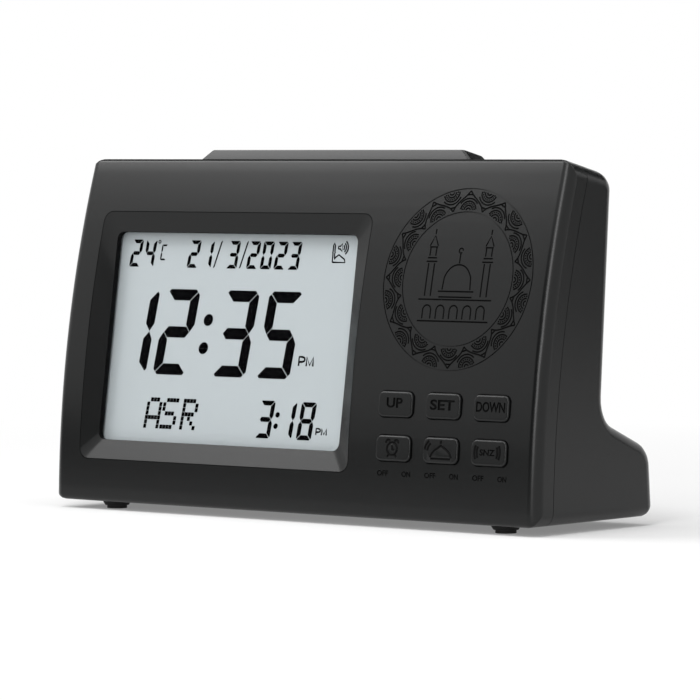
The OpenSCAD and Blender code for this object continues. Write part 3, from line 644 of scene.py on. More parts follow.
def engrave(piece: Piece, cutter: Piece) -> None:
    """Cuts one closed mesh out of another, in metres blown up to millimetres, and deletes the cutter.

    Args:
        piece: The mesh that is cut.
        cutter: The mesh that is cut out of it.
    """
    blown_up = 1 / MM if max(piece.dimensions) < 1 else 1.0
    for mesh in (piece.data, cutter.data):
        mesh.transform(Matrix.Scale(blown_up, 4))
    # The cutter's darker finish passes to the cut faces: painted shade in the grooves.
    dress(cutter, PAINTED_SHADE_ABS)
    exact = {"solver": "EXACT", "use_self": True, "use_hole_tolerant": True, "material_mode": "TRANSFER"}
    apply_modifier(piece, "BOOLEAN", object=cutter, operation="DIFFERENCE", **exact)
    piece.data.transform(Matrix.Scale(1 / blown_up, 4))
    discard([cutter])


def dress(piece: Piece, *finishes: Finish) -> None:
    """Gives a piece its finish, or one for each of its material numbers.

    Args:
        piece: The piece.
        *finishes: The finishes, by number.
    """
    piece.data.materials.clear()
    for finish in finishes:
        piece.data.materials.append(finish.build())


def ride(piece: Piece, body: str, nodes: Sequence[str] = ()) -> None:
    """Ties a piece to its body and the CAD nodes it stands for, and reports it.

    Args:
        piece: The finished piece.
        body: The CAD body it moves with.
        nodes: CAD nodes that it replaces.
    """
    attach(piece, body)
    if nodes:
        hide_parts(*nodes)
    log.info("%s rides on %s, %d faces", piece.name, body, len(piece.data.polygons))


def moulding(node: str, name: str) -> Piece:
    """Copies a CAD node and merges its loose triangles, ready to be engraved and smoothed.

    Args:
        node: The CAD node.
        name: The new piece's name.

    Returns:
        The new piece, at the node's place.
    """
    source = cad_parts[node]
    piece = source.copy()
    piece.data = source.data.copy()
    piece.parent = None
    for key in [k for k in piece.keys() if k.startswith("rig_")]:
        del piece[key]
    link(piece)
    piece.matrix_world = Matrix.Identity(4)
    piece.name = piece.data.name = name
    pick(piece)
    ops.mesh.customdata_custom_splitnormals_clear()
    with edit(piece):
        ops.mesh.select_all(action="SELECT")
        ops.mesh.remove_doubles(threshold=WELD_M)
        ops.mesh.dissolve_limited(angle_limit=FLAT_BEND)
    return piece


def recast(node: str, ending: str, finish: Finish, body: str, crease: float = CREASE) -> Piece:
    """Makes a merged, smoothed and dressed piece in the form of the CAD node that it stands for.

    Args:
        node: The CAD node.
        ending: What the new piece's name has after the node's.
        finish: Its finish.
        body: The CAD body it moves with.
        crease: Angle in degrees above which its edges stay sharp.

    Returns:
        The new piece.
    """
    piece = moulding(node, node + ending)
    smooth(piece, crease)
    dress(piece, finish)
    ride(piece, body, [node])
    return piece


# ---- the clock's sub-assemblies ----


@dataclass
class Ornament:
    """The engraved ring of fans and the line drawing inside it, in millimetres about its middle."""

    outer_r: float = 27.4
    inner_r: float = 20.52
    depth: float = 0.38
    fans: int = 12
    line_w: float = 0.54
    line_depth: float = 0.34
    # How far each set of grooves is raised, so that the cutter's widest points don't lie in the face.
    waves_lift: float = 0.011
    fans_lift: float = 0.017
    drawing_lift: float = 0.013
    drawing_w: float = 0.52
    # Bare edge beside the waves and the fans.
    waves_margin: float = 0.5
    fans_margin: float = 0.25
    # How far a wave swings, as a part of its turn.
    swing: float = 0.06
    crease: float = 25
    # Radius and half angle of each arc; near and far end, half angle and number of each row of ticks.
    arcs: tuple[tuple[float, float], ...] = ((0.75, 84), (1.6, 84), (2.9, 82), (3.75, 56), (4.9, 9))
    ticks: tuple[tuple[float, float, float, int], ...] = ((2.0, 2.5, 80, 9),)
    # One tower of the drawing, about its foot's middle.
    tower: tuple[tuple[Point, ...], ...] = (
        ((-1.1, -5.4), (-1.1, 4.6)),
        ((1.1, -5.4), (1.1, 4.6)),
        ((-2.0, 5.1), (2.0, 5.1)),
        ((-1.7, 6.2), (1.7, 6.2)),
        ((-1.1, 6.8), (-1.1, 9.4)),
        ((1.1, 6.8), (1.1, 9.4)),
        ((-1.5, 9.9), (0, 13.0), (1.5, 9.9)),
        ((-1.5, 9.5), (1.5, 9.5)),
        ((0, 13.4), (0, 15.0)),
    )

    def ring(self) -> None:
        """Makes the ring that fills the shell's recess, engraved with fans between waving lines."""
        deselect()
        ops.mesh.primitive_circle_add(vertices=144, radius=self.outer_r)
        ring = bpy.context.object
        with edit(ring):
            ops.mesh.select_all(action="SELECT")
            radius, steps = self.outer_r, 4
            for step in range(1, steps + 1):
                next_r = self.outer_r + (self.inner_r - self.outer_r) * step / steps
                shrink = next_r / radius
                ops.mesh.extrude_edges_move()
                ops.transform.resize(value=(shrink, shrink, 1), center_override=(0, 0, 0))
                radius = next_r
            thicken(-self.depth)
        dress(ring, CASE_ABS)
        engrave(ring, strokes(self._waves(), self.line_w, 2 * self.line_depth, self.waves_lift))
        engrave(ring, strokes(self._fans(), self.line_w, 2 * self.line_depth, self.fans_lift))
        ring.name = ring.data.name = "ornament_ring"
        drape(ring)
        set_down(ring, ON_MEDAL @ FLAT)
        smooth(ring, self.crease)
        ride(ring, "case")

    def _waves(self) -> list[list[Point]]:
        """Plots the waving lines that part the fans, each from the tip of one to the tip of the next.

        Returns:
            The points of each line.
        """
        lines = []
        pitch, margin, steps = math.pi / self.fans, self.waves_margin, 12
        for k in range(2 * self.fans):
            line = []
            for t in (i / steps for i in range(steps + 1)):
                across = t - self.swing * math.sin(2 * math.pi * t)
                turn = pitch * (k + (across if k % 2 else 1 - across))
                r = self.inner_r + margin + (self.outer_r - self.inner_r - 2 * margin) * t
                line.append((r * math.cos(turn), r * math.sin(turn)))
            lines.append(line)
        return lines

    def _fans(self) -> list[list[Point]]:
        """Plots the arcs and ticks of the fans, which stand on the inner and the outer circle in turn.

        Returns:
            The points of each line.
        """
        lines = []
        for k in range(2 * self.fans):
            inner = k % 2 == 0
            turn = 180 * k / self.fans
            base = self.inner_r + self.fans_margin if inner else self.outer_r - self.fans_margin
            middle = (base * math.cos(math.radians(turn)), base * math.sin(math.radians(turn)))
            aim = turn if inner else turn + 180
            for radius, half in self.arcs:
                lines.append(arc(middle, radius, aim - half, aim + half, 8))
            for near, far, half, count in self.ticks:
                for i in range(count):
                    at = aim - half + 2 * half * i / (count - 1)
                    lines.append([arc(middle, end, at, at, 1)[0] for end in (near, far)])
        return lines

    def drawing(self) -> Piece:
        """Draws a dome between two towers as lines to be cut into the front.

        Returns:
            The cutter, laid on the front's curve at its place.
        """
        across = [i / 8 - 1 for i in range(1, 16)]
        bow = [(x * 5.6, -3.4 + 7.6 * (1 - abs(x) ** 2.2) ** 0.5) for x in across]
        dome = [(-5.2, -3.4), *bow, (5.2, -3.4)]
        lines = [dome, [(-6.6, -3.9), (6.6, -3.9)], [(-6.2, -5.6), (6.2, -5.6)], [(0, 4.6), (0, 7.6)]]
        lines.append(arc((0, 8.5), 0.75, 0, 315, 10))
        for side in (-1, 1):
            lines += [moved(line, (10.4 * side, 0)) for line in self.tower]
        lines += [[(-13.6, -6.4), (13.6, -6.4)], [(-13.2, -12.9), (13.2, -12.9)]]
        arch = [(-1.5, -12.2), (-1.5, -9.6), *arc((0, -9.6), 1.5, 170, 10, 8), (1.5, -9.6), (1.5, -12.2)]
        lines += [moved(arch, (5.0 * k, 0)) for k in range(-2, 3)]
        cutter = strokes(lines, self.drawing_w, 2 * self.line_depth, self.drawing_lift)
        drape(cutter)
        set_down(cutter, ON_MEDAL @ FLAT)
        return cutter


@dataclass
class Case:
    """The two shells of moulded plastic, with the marks cut into the front."""

    label_h: float = 1.7
    label_z: float = -14.95
    label_depth: float = 0.5
    off_x: float = -6.2
    off_w: float = 4.2
    on_x: float = 3.1
    on_w: float = 3.3
    ornament: Ornament = field(default_factory=Ornament)

    def build(self) -> None:
        """Makes the shells."""
        front = moulding("front_shell", "front_shell_skin")
        dress(front, CASE_ABS)
        engrave(front, self.labels())
        engrave(front, self.ornament.drawing())
        smooth(front)
        ride(front, "case", ["front_shell"])
        self.ornament.ring()
        recast("rear_shell", "_skin", CASE_ABS, "case")

    def labels(self) -> Piece:
        """Makes the OFF and ON marks under the lower keys, as a cutter.

        Returns:
            The cutter at its place.
        """
        words = []
        for column in (-1, 0, 1):
            middle = column * Keypad.pitch_x
            for text, x, wide in (("OFF", self.off_x, self.off_w), ("ON", self.on_x, self.on_w)):
                low = (middle + x, self.label_z)
                high = (middle + x + wide, self.label_z + self.label_h)
                words.append(word(text, low, high, self.label_depth))
        cutter = join(words, "labels")
        drape(cutter)
        set_down(cutter, ON_KEYS @ FLAT)
        return cutter


# The bars of each digit: a at the top, then clockwise to f, and g in the middle.
SEGMENTS = {"0": "abcdef", "1": "bc", "2": "abged", "3": "abgcd", "5": "afgcd", "8": "abcdefg"}
SEGMENTS |= {"4": "fgbc", "C": "afed"}


@dataclass
class Digits:
    """A row of slanted seven-bar digits of one size, in millimetres on the glass."""

    width: float
    low: float
    high: float
    bar: float
    gap: float = 0.2
    corner: float = 0.8
    slant: float = 0.11
    ink: float = 0.05

    def bars(self) -> dict[str, Piece]:
        """Makes the seven bars of a cell whose lower left corner is the origin.

        Returns:
            The bars by letter, of which only a, f and g are modelled.
        """
        w, h, t, g, c = self.width, self.high - self.low, self.bar, self.gap * 0.71, self.corner
        ends = [((g, h), (-1, -1)), ((w - g, h), (1, -1)), ((c, h), (-1, 1)), ((w - c, h), (1, 1))]
        top = cut_plate((0, h - t), (w, h), ends, self.ink)
        point, tip = (t * 0.44, h / 2 + g * 0.6), (t * 0.44 + g * 0.9, h / 2)
        ends = [((0, h - g), (1, 1)), ((c, h), (-1, 1)), (point, (-0.7, -0.44)), (point, (0.5, -0.43))]
        left = cut_plate((0, h / 2), (t, h), ends, self.ink)
        ends = [(tip, (-0.5, 0.43)), (tip, (-0.5, -0.43))]
        ends += [((w - x, y), (-a, b)) for (x, y), (a, b) in ends]
        middle = cut_plate((0, (h - t) / 2), (w, (h + t) / 2), ends, self.ink)
        over = Matrix.Translation((0, h, 0)) @ Matrix.Diagonal((1, -1, 1, 1))
        across = Matrix.Translation((w, 0, 0)) @ Matrix.Diagonal((-1, 1, 1, 1))
        return {
            "a": top,
            "f": left,
            "g": middle,
            "b": copy_of(left, across),
            "c": copy_of(left, across @ over),
            "d": copy_of(top, over),
            "e": copy_of(left, over),
        }

    def write(self, cells: Sequence[tuple[str, float]]) -> list[Piece]:
        """Writes digits.

        Args:
            cells: Each digit with the left edge of its cell at half height.

        Returns:
            The bars that are switched on, slanted and in place.
        """
        pattern = self.bars()
        marks = []
        for digit, x in cells:
            cell = Matrix.Translation((x, self.low, 0))
            marks += [copy_of(pattern[bar], cell) for bar in SEGMENTS[digit]]
        discard(pattern.values())
        for mark in marks:
            self.lean(mark)
        return marks

    def colon(self, x: float, heights: Sequence[float], radius: float) -> list[Piece]:
        """Makes the two dots of a colon.

        Args:
            x: Their middle at half height.
            heights: The middle of each dot.
            radius: Radius of a dot.

        Returns:
            The dots.
        """
        dots = [disc(radius, self.ink, (x, z)) for z in heights]
        for dot in dots:
            self.lean(dot)
        return dots

    def lean(self, mark: Piece) -> None:
        """Slants a mark about half the row's height.

        Args:
            mark: The mark.
        """
        slanted = Matrix.Identity(4)
        slanted[0][1] = self.slant
        slanted[0][3] = -self.slant * (self.low + self.high) / 2
        mark.data.transform(slanted)


DOT_LETTERS = {
    "A": ("01110", "10001", "10001", "10001", "11111", "10001", "10001"),
    "S": ("01111", "10000", "10000", "01110", "00001", "00001", "11110"),
    "R": ("11110", "10001", "10001", "11110", "10100", "10010", "10001"),
}


@dataclass
class Display:
    """The sunk frame round the clear window and the grey glass, and what the glass shows."""

    view: Point = (97.4, 65.9)
    ink_y: float = 3.09
    ink: float = 0.05
    dot_x: float = 1.27
    dot_z: float = 1.4
    dot_gap: float = 0.11
    symbol_w: float = 0.5
    # The bezel's wall, painted in the darker colour as painted shade, lies this near the opening, and its
    # normals lean this little to the front.
    wall_margin: float = 0.6
    wall_slope: float = 0.3
    letters_low: float = -28.6
    letters: tuple[tuple[str, float], ...] = (("A", -32.65), ("S", -25.95), ("R", -17.75))

    def build(self) -> None:
        """Makes the sunk frame and the marks that the glass shows."""
        bezel = moulding("display_bezel", "display_bezel_skin")
        smooth(bezel)
        dress(bezel, CASE_ABS, PAINTED_SHADE_ABS)
        to_panel = ON_PANEL.inverted()
        half_x, half_z = (size / 2 + self.wall_margin for size in self.view)
        # The step's wall round the opening takes the darker colour: painted shade in the recess.
        for face in bezel.data.polygons:
            at = to_panel @ face.center
            near = abs(at.x) < half_x and abs(at.z) < half_z
            face.material_index = int(near and abs(face.normal.y) < self.wall_slope)
        ride(bezel, "case", ["display_bezel"])
        for name, marks in (
            ("lcd_date", self.date()),
            ("lcd_time", self.time()),
            ("lcd_prayer", self.prayer()),
            ("lcd_symbol", self.symbol()),
        ):
            piece = join(marks, name)
            set_down(piece, ON_PANEL @ Matrix.Translation((0, self.ink_y, 0)) @ FLAT)
            dress(piece, LCD_INK)
            ride(piece, "case")

    def date(self) -> list[Piece]:
        """Writes the temperature and the date.

        Returns:
            The marks.
        """
        row = Digits(width=4.3, low=22.2, high=30.85, bar=1.2, gap=0.2, corner=0.45)
        cells = (("2", -45.0), ("4", -39.3), ("2", -21.0), ("1", -15.5), ("3", -4.9))
        cells += (("2", 3.3), ("0", 8.8), ("2", 14.3), ("3", 19.8))
        marks = row.write(cells)
        small = Digits(width=2.4, low=24.4, high=29.4, bar=0.55, gap=0.12, corner=0.35)
        marks += small.write([("C", -32.6)])
        marks.append(disc(0.6, self.ink, (-33.5, 30.2), hole=0.28, steps=20))
        for x in (-9.05, 1.5):
            ends = [((x, 30.7), (-1, 2)), ((x, 22.4), (1, -2))]
            slash = cut_plate((x - 0.26, 22.3), (x + 0.26, 30.85), ends, self.ink)
            Digits(width=0, low=22.3, high=30.85, bar=0, slant=0.3).lean(slash)
            marks.append(slash)
        return marks

    def time(self) -> list[Piece]:
        """Writes the large time of day.

        Returns:
            The marks.
        """
        row = Digits(width=13.7, low=-11.55, high=15.4, bar=3.5, gap=0.26, corner=1.7)
        marks = row.write([("1", -46.5), ("2", -29.85), ("3", -5.7), ("5", 12.0)])
        marks += row.colon(-10.85, (5.97, -2.87), 1.87)
        marks.append(self.caption((27.5, -7.3), (33.1, -4.5), 0.66))
        return marks

    def prayer(self) -> list[Piece]:
        """Writes the prayer's name in dots and its time.

        Returns:
            The marks.
        """
        row = Digits(width=5.9, low=-29.95, high=-18.3, bar=1.5, gap=0.22, corner=0.7)
        marks = row.write([("3", 13.35), ("1", 22.0), ("8", 29.7)])
        marks += row.colon(20.9, (-22.56, -26.06), 0.85)
        marks.append(self.caption((36.8, -28.15), (40.85, -26.2), 0.52))
        return marks + self.dotted()

    def caption(self, low: Point, high: Point, bar: float) -> Piece:
        """Returns the small mark for the afternoon, drawn with bars of one width.

        Args:
            low: Its lower left corner.
            high: Its upper right corner.
            bar: Width of its bars.

        Returns:
            The mark.
        """
        (x0, z0), (x1, z1) = low, high
        wide, tall = (x1 - x0) * 0.4, z1 - z0
        bowl = ((0.55, 1), (0.95, 0.9), (1, 0.72), (0.95, 0.55), (0.55, 0.45), (0, 0.45))
        p = [(0, 0), (0, tall)] + [(wide * x, tall * z) for x, z in bowl]
        left, right = wide * 1.35, x1 - x0
        m = [(left, 0), (left, tall), ((left + right) / 2, tall * 0.1), (right, tall), (right, 0)]
        return strokes([moved(p, low), moved(m, low)], bar, self.ink, self.ink / 2)

    def dotted(self) -> list[Piece]:
        """Writes the letters that are made up of square dots, all copies of one.

        Returns:
            The dots.
        """
        wide, tall = (self.dot_x - self.dot_gap) / 2, (self.dot_z - self.dot_gap) / 2
        dot = cut_plate((-wide, -tall), (wide, tall), [], self.ink)
        with edit(dot):
            choose(dot, Kind.EDGE, lambda _, along: abs(along.z) > 0.9)
            ops.mesh.bevel(offset=0.1, segments=1)
        row = Digits(width=0, low=self.letters_low, high=self.letters_low + 7 * self.dot_z, bar=0)
        marks = []
        for letter, left in self.letters:
            for down, line in enumerate(DOT_LETTERS[letter]):
                for across, lit in enumerate(line):
                    if lit == "1":
                        x = left + (across + 0.5) * self.dot_x
                        z = self.letters_low + (6.5 - down) * self.dot_z
                        marks.append(copy_of(dot, Matrix.Translation((x, z, 0))))
                        row.lean(marks[-1])
        discard([dot])
        return marks

    def symbol(self) -> list[Piece]:
        """Draws the call's symbol: a tower, a dome and a sounding horn.

        Returns:
            The symbol.
        """
        tower = [(36.9, 24.75), (36.9, 27.6), (36.7, 27.8), (36.9, 28.1), (36.9, 29.9), (37.25, 30.6)]
        edge = [(37.6, 29.9), (37.6, 28.1), (37.8, 27.8), (37.6, 27.6), (37.6, 26.1)]
        dome = [(36.9, 24.75), (41.9, 24.75), (41.6, 25.7), (40.6, 26.3), (39.3, 27.1), (38.1, 26.3)]
        horn = [(38.9, 28.9), (38.9, 29.7), (39.6, 29.7), (40.4, 30.5), (40.4, 28.1), (39.6, 28.9)]
        lines = [tower + edge[:1], edge, dome + [(37.6, 25.7)], horn + horn[:1]]
        for radius, half, steps in ((1.0, 45, 6), (1.75, 50, 8), (2.5, 52, 10)):
            lines.append(arc((40.2, 29.3), radius, -half, half, steps))
        return [strokes(lines, self.symbol_w, self.ink, self.ink / 2)]


@dataclass
class Keypad:
    """The six keys and what is cut into them, in millimetres about each key's middle."""

    pitch_x: ClassVar[float] = 17.86
    row_z: ClassVar[float] = 6.575
    face_z: float = 0.8
    cut: float = 0.36
    line_w: float = 0.78
    # How far the grooves are raised, as in the ornament.
    lift: float = 0.012
    crease: float = 50

    def build(self) -> None:
        """Makes the keys."""
        cutters = {
            "up": word("UP", (-3.2, -1.1), (2.9, 1.95), 2 * self.cut),
            "set": word("SET", (-4.6, -1.25), (4.5, 1.9), 2 * self.cut),
            "down": word("DOWN", (-5.35, -1.25), (5.3, 1.85), 2 * self.cut),
            "alarm": self.alarm_clock(),
            "azan": self.sounding_dome(),
            "snooze": self.snooze_mark(),
        }
        for k, (name, cutter) in enumerate(cutters.items()):
            key = moulding("key_" + name, f"key_{name}_cap")
            set_down(cutter, self.spot(k, self.face_z))
            dress(key, KEY_ABS)
            engrave(key, cutter)
            smooth(key, self.crease)
            ride(key, "key_" + name, ["key_" + name])

    @classmethod
    def spot(cls, k: int, height: float) -> Matrix:
        """Returns the place of a key, by its number, at a height over the front."""
        row = cls.row_z if k < 3 else -cls.row_z
        return ON_KEYS @ FLAT @ Matrix.Translation(((k % 3 - 1) * cls.pitch_x, row, height))

    def alarm_clock(self) -> Piece:
        """Draws the sign of the alarm key: a round clock with two bells.

        Returns:
            The cutter.
        """
        middle = (-0.2, -0.2)
        lines = [
            arc(middle, 1.9, 0, 357, 24),
            [(-0.2, 0.85), (-0.2, -0.3), (0.6, -0.6)],
            arc((-1.75, 1.75), 0.75, 20, 200, 6),
            arc((1.35, 1.75), 0.75, -20, 160, 6),
            [(-1.35, -1.95), (-1.95, -2.6)],
            [(0.95, -1.95), (1.55, -2.6)],
        ]
        return self._grooves(lines)

    def sounding_dome(self) -> Piece:
        """Draws the sign of the call key: a dome with its finial and sound waves.

        Returns:
            The cutter.
        """
        left = [(-3.6, -2.1), (-3.0, -0.9), (-1.9, 0.1), (-0.6, 0.9)]
        right = [(0.2, 1.5), (1.2, 0.9), (2.5, 0.2), (3.6, -0.8), (4.2, -2.1)]
        lines = [
            left + right,
            [(-3.4, -2.5), (4.0, -2.5)],
            [(0.2, 2.0), (0.2, 3.0)],
            arc((-1.5, -0.6), 3.3, 128, 172, 6),
            arc((-1.5, -0.6), 4.3, 128, 170, 6),
        ]
        return self._grooves(lines)

    def snooze_mark(self) -> Piece:
        """Draws the sign of the snooze key: SNZ between sound waves.

        Returns:
            The cutter.
        """
        middle = (-0.4, 0.1)
        lines = [arc(middle, radius, turn - 26, turn + 26, 8) for turn in (0, 180) for radius in (3.8, 4.7)]
        letters = word("SNZ", (-3.2, -0.85), (2.4, 1.05), 2 * self.cut)
        return join([self._grooves(lines), letters], "snooze_mark")

    def _grooves(self, lines: Sequence[Sequence[Point]]) -> Piece:
        """Returns the cutter for lines on a key."""
        return strokes(lines, self.line_w, 2 * self.cut, self.lift)


@dataclass
class SnoozeBar:
    """The long bar on top."""

    crease: float = 40

    def build(self) -> None:
        """Makes the bar."""
        recast("snooze_bar", "_cap", CASE_ABS, "snooze_bar", self.crease)


@dataclass
class RubberParts:
    """The domes and the mat under the keys and the bar, the bar's springs, and the other rubber parts."""

    key_base: float = -6.5
    # Radius of the rim, radius of the crown and height.
    key_dome: Triple = (3.9, 2.3, 1.9)
    bar_dome: Triple = (3.7, 2.2, 2.2)
    key_travel: float = 0.9
    bar_base: float = -7.6
    bar_middle: float = 10.2
    bar_travel: float = 1.0
    spring_base: float = -8.6
    spring_l: float = 5.0
    spring_crease: float = 60
    flange: float = 0.25
    wall: float = 0.7
    rounding: float = 0.2
    # The hollow's height and its roof's width as parts of the dome's height and of its floor's width.
    hollow: float = 0.55
    pill: float = 0.3
    pill_margin: float = 0.5
    crease: float = 40

    def build(self) -> None:
        """Makes the domes, the springs and the other rubber parts."""
        patterns = self.pattern(self.key_dome), self.pattern(self.bar_dome)
        for k, name in enumerate(("up", "set", "down", "alarm", "azan", "snooze")):
            place_on = Keypad.spot(k, self.key_base)
            dome = self.dome(f"dome_{name}_rubber", patterns[0], place_on)
            ride(dome, "case", ["dome_" + name])
            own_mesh(dome)
        place_on = ON_TOP @ Matrix.Translation((0, self.bar_middle, self.bar_base))
        dome = self.dome("snooze_dome_rubber", patterns[1], place_on)
        ride(dome, "case", ["snooze_dome"])
        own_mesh(dome)
        discard(patterns)
        springs = recast("snooze_springs", "_wire", NICKEL, "case", self.spring_crease)
        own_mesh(springs)
        for node, finish, slot in (
            ("key_mat", SILICONE, "silicone"),
            ("zebra_strips", RUBBER_DARK, "dark_rubber"),
            ("speaker_gasket", RUBBER_DARK, "dark_rubber"),
            ("feet", RUBBER_DARK, "feet"),
        ):
            recast(node, "_rubber", finish, "case")

    def pattern(self, form: Triple) -> Piece:
        """Models a dome with a thin rim, a hollow below and the carbon pill in it.

        Args:
            form: Radius of the rim, radius of the crown and height, in millimetres.

        Returns:
            The dome, on the ground plane.
        """
        rim, crown, height = form
        deselect()
        thin = self.flange
        ops.mesh.primitive_cylinder_add(vertices=32, radius=rim, depth=thin, location=(0, 0, thin / 2))
        dome = bpy.context.object
        ops.object.transform_apply()
        hollow = self.hollow * height
        with edit(dome):
            choose(dome, Kind.FACE, lambda _, normal: normal.z > 0.9)
            extrude(height - thin)
            ops.transform.resize(value=(crown / rim, crown / rim, 1), center_override=(0, 0, height))
            ops.mesh.bevel(offset=self.rounding, segments=2, affect="EDGES")
            choose(dome, Kind.FACE, lambda _, normal: normal.z < -0.9)
            ops.mesh.inset(thickness=self.wall)
            extrude(hollow + self.pill)
            ops.transform.resize(value=(self.hollow, self.hollow, 1), center_override=(0, 0, hollow))
            ops.mesh.inset(thickness=self.pill_margin)
            extrude(-self.pill)
        dress(dome, SILICONE, CARBON)
        for face in dome.data.polygons:
            face.material_index = int(face.normal.z < -0.9 and abs(face.center.z - hollow) < self.pill / 2)
        return dome

    def dome(self, name: str, pattern: Piece, where: Matrix) -> Piece:
        """Copies a dome to its place.

        Args:
            name: The piece's name.
            pattern: The dome that is copied.
            where: Its place, with +Z out of the case.

        Returns:
            The dome.
        """
        dome = copy_of(pattern, where)
        dome.name = dome.data.name = name
        smooth(dome, self.crease)
        return dome


@dataclass
class Batteries:
    """The two cells and the sliding door."""

    # Length of the bright cap at each end of a cell, in metres.
    cap: float = 0.0014
    crease: float = 40

    def build(self) -> None:
        """Makes the cells with their bright ends, and the door."""
        for name in ("battery_cell_front", "battery_cell_rear"):
            cell = moulding(name, name + "_sleeved")
            dress(cell, CELL_SLEEVE, NICKEL)
            low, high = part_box(name)
            middle, half = (low[0] + high[0]) / 2, (high[0] - low[0]) / 2
            for face in cell.data.polygons:
                face.material_index = int(abs(face.center.x - middle) > half - self.cap)
            smooth(cell, self.crease)
            ride(cell, "case", [name])
        recast("battery_door", "_skin", CASE_ABS, "battery_door")


# The CAD nodes that stay, by their finish.
CARRIED = {
    WINDOW_ACRYLIC: ("display_window",),
    LCD_GREY: ("lcd_panel",),
    LIGHT_GUIDE: ("lcd_backlight",),
    WHITE_ABS: ("lcd_frame", "board_plugs"),
    SOLDER_MASK: ("main_board", "key_board", "snooze_board"),
    RESIN_BLACK: ("clock_chip",),
    STEEL: ("quartz_crystal", "speaker_frame")
    + ("board_screws", "key_board_screws", "speaker_screws", "case_screws"),
    SLEEVE: ("buffer_capacitors",),
    FERRITE: ("speaker_magnet",),
    CONE_PAPER: ("speaker_cone",),
    NICKEL: ("battery_springs", "battery_plates"),
}


@dataclass(frozen=True)
class SoftBox:
    """One area lamp that faces the clock: its place and size in metres, its power in watts."""

    name: str
    where: Triple
    size: tuple[float, float]
    power: float


@dataclass(frozen=True)
class Flag:
    """One black card that stands by the clock: its bearing in degrees from the front, the rest in metres."""

    name: str
    bearing: float
    distance: float
    wide: float
    low: float
    high: float


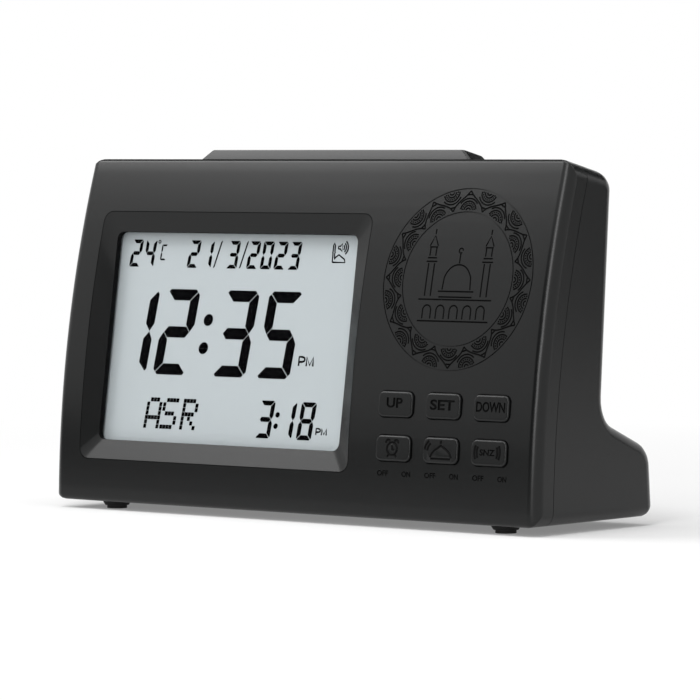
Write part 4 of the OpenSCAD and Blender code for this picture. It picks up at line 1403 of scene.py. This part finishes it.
@dataclass
class Studio:
    """The floor, the lights, the world and the camera."""

    camera_place_mm: Triple = (882.636, -1062.303 + FRONT_Y, 111.089)
    camera_target_mm: Triple = (25.557, FRONT_Y, 52.926)
    sensor_mm: ClassVar[float] = 36
    # The fitted focal length in pixels of a 700 pixel wide picture.
    lens_mm: float = 4557.631 / 700 * sensor_mm
    clip_end: float = 20
    aim_height: float = 0.05
    floor_size: float = 12
    card_grey: float = 0.01
    fill: float = 0.35
    floor_colour: str = "#d6d6d6"
    floor_lift: float = 0.22
    fade_m: tuple[float, float] = (0.22, 0.5)
    boxes: tuple[SoftBox, ...] = (
        SoftBox("key", (-1.6, -0.85, 1.6), (1.4, 1.0), 23),
        SoftBox("front", (0.1, -1.0, 1.9), (1.2, 0.8), 13.5),
        SoftBox("edge", (0.38, -1.03, 0.5), (0.34, 0.9), 5),
        SoftBox("top", (0.0, 0.0, 1.9), (1.6, 1.2), 11),
    )
    flags: tuple[Flag, ...] = (
        Flag("front_flag", 4.0, 0.35, 0.22, 0.0, 0.25),
        Flag("low_flag", -45.0, 0.5, 0.6, 0.0, 0.06),
        Flag("back_flag", 141.0, 0.9, 0.15, 0.0, 1.2),
        Flag("left_flag", -112.0, 0.7, 0.9, 0.35, 1.1),
        Flag("rear_flag", -168.0, 0.7, 0.9, 0.35, 1.1),
    )

    def build(self) -> None:
        """Sets up everything round the clock."""
        self._camera()
        self._floor()
        self._world()
        self._lights()
        self._flags()

    def _camera(self) -> None:
        """Adds the camera at the photograph's place."""
        data = bpy.data.cameras.new("camera")
        data.lens = self.lens_mm
        data.sensor_width = self.sensor_mm
        data.sensor_fit = "HORIZONTAL"
        data.clip_end = self.clip_end
        where, target = (Vector(place_mm) * MM for place_mm in (self.camera_place_mm, self.camera_target_mm))
        bpy.context.scene.camera = self._stand(data, where, target)

    def _stand(self, data: bpy.types.ID, where: Vector, target: Vector) -> Piece:
        """Stands a camera or a lamp in its place, turned to a target.

        Args:
            data: The camera or lamp.
            where: Its place.
            target: What it looks at.

        Returns:
            The new object.
        """
        thing = bpy.data.objects.new(data.name, data)
        link(thing)
        thing.location = where
        thing.rotation_euler = (target - where).to_track_quat("-Z", "Y").to_euler()
        return thing

    def _floor(self) -> None:
        """Adds the pale floor: it keeps the shadow, turns white away from it and is clear from below."""
        deselect()
        ops.mesh.primitive_plane_add(size=self.floor_size)
        floor = bpy.context.object
        floor.name = "studio_floor"
        material = bpy.data.materials.new("studio_floor")
        tree = blank_tree(material)
        matt = add_node(tree, "ShaderNodeBsdfDiffuse", {"Color": linear(self.floor_colour)})
        lift = add_node(tree, "ShaderNodeEmission", {"Color": WHITE, "Strength": self.floor_lift})
        both = add_node(tree, "ShaderNodeAddShader", {0: matt, 1: lift})
        white = add_node(tree, "ShaderNodeEmission", {"Color": WHITE, "Strength": 1.0})
        place_on = add_node(tree, "ShaderNodeTexCoord")
        away = add_node(tree, "ShaderNodeVectorMath", {0: place_on.outputs["Object"]}, operation="LENGTH")
        ends = {"Value": away.outputs["Value"], "From Min": self.fade_m[0], "From Max": self.fade_m[1]}
        fade = add_node(tree, "ShaderNodeMapRange", ends)
        near = add_node(tree, "ShaderNodeMixShader", {0: fade, 1: both, 2: white})
        above = add_node(tree, "ShaderNodeMixShader", {0: self._seen(tree), 1: matt, 2: near})
        side = add_node(tree, "ShaderNodeNewGeometry")
        clear = add_node(tree, "ShaderNodeBsdfTransparent")
        ways = {0: side.outputs["Backfacing"], 1: above, 2: clear}
        add_node(tree, "ShaderNodeOutputMaterial", {0: add_node(tree, "ShaderNodeMixShader", ways)})
        floor.data.materials.append(material)

    def _seen(self, tree: Tree) -> Node:
        """Finds what the camera sees, also by reflection and through clear things.

        Args:
            tree: The tree.

        Returns:
            A node that is 1 there and 0 elsewhere.
        """
        path = add_node(tree, "ShaderNodeLightPath")
        seen = path.outputs["Is Camera Ray"]
        for ray in ("Is Glossy Ray", "Is Transmission Ray"):
            seen = add_node(tree, "ShaderNodeMath", {0: seen, 1: path.outputs[ray]}, operation="MAXIMUM")
        return seen

    def _world(self) -> None:
        """Makes a white surround that lights the clock softly."""
        world = bpy.data.worlds.new("studio")
        bpy.context.scene.world = world
        tree = blank_tree(world)
        white = add_node(tree, "ShaderNodeBackground", {"Color": WHITE, "Strength": 1.0})
        fill = add_node(tree, "ShaderNodeBackground", {"Color": WHITE, "Strength": self.fill})
        mix = add_node(tree, "ShaderNodeMixShader", {0: self._seen(tree), 1: fill, 2: white})
        add_node(tree, "ShaderNodeOutputWorld", {0: mix})

    def _lights(self) -> None:
        """Adds the soft boxes."""
        for box in self.boxes:
            data = bpy.data.lights.new(box.name, "AREA")
            data.shape = "RECTANGLE"
            data.size, data.size_y = box.size
            data.energy = box.power
            self._stand(data, Vector(box.where), Vector((0, 0, self.aim_height)))

    def _flags(self) -> None:
        """Stands the black cards that darken the sheen on the front, its right edge, the bar and the top."""
        material = bpy.data.materials.new("black_card")
        tree = blank_tree(material)
        grey = (self.card_grey, self.card_grey, self.card_grey, 1.0)
        matt = add_node(tree, "ShaderNodeBsdfDiffuse", {"Color": grey})
        add_node(tree, "ShaderNodeOutputMaterial", {0: matt})
        for card in self.flags:
            deselect()
            turn = math.radians(card.bearing)
            at = (card.distance * math.sin(turn), -card.distance * math.cos(turn), (card.low + card.high) / 2)
            ops.mesh.primitive_plane_add(size=1, location=at, rotation=(math.pi / 2, 0, turn))
            flag = bpy.context.object
            flag.name = card.name
            flag.scale = (card.wide, card.high - card.low, 1)
            flag.visible_camera = flag.visible_shadow = flag.visible_diffuse = False
            flag.data.materials.append(material)


def dress_carried() -> None:
    """Gives every CAD node that stays its finish."""
    for finish, nodes in CARRIED.items():
        for node in nodes:
            dress(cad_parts[node], finish)


def main() -> None:
    """Builds the clock and its studio."""
    logging.basicConfig(level=logging.INFO, format="%(name)s: %(message)s")
    bpy.context.scene.view_settings.view_transform = "Standard"
    Studio().build()
    dress_carried()
    for assembly in (Case(), Display(), Keypad(), SnoozeBar(), RubberParts(), Batteries()):
        assembly.build()


if __name__ == "__main__":
    main()
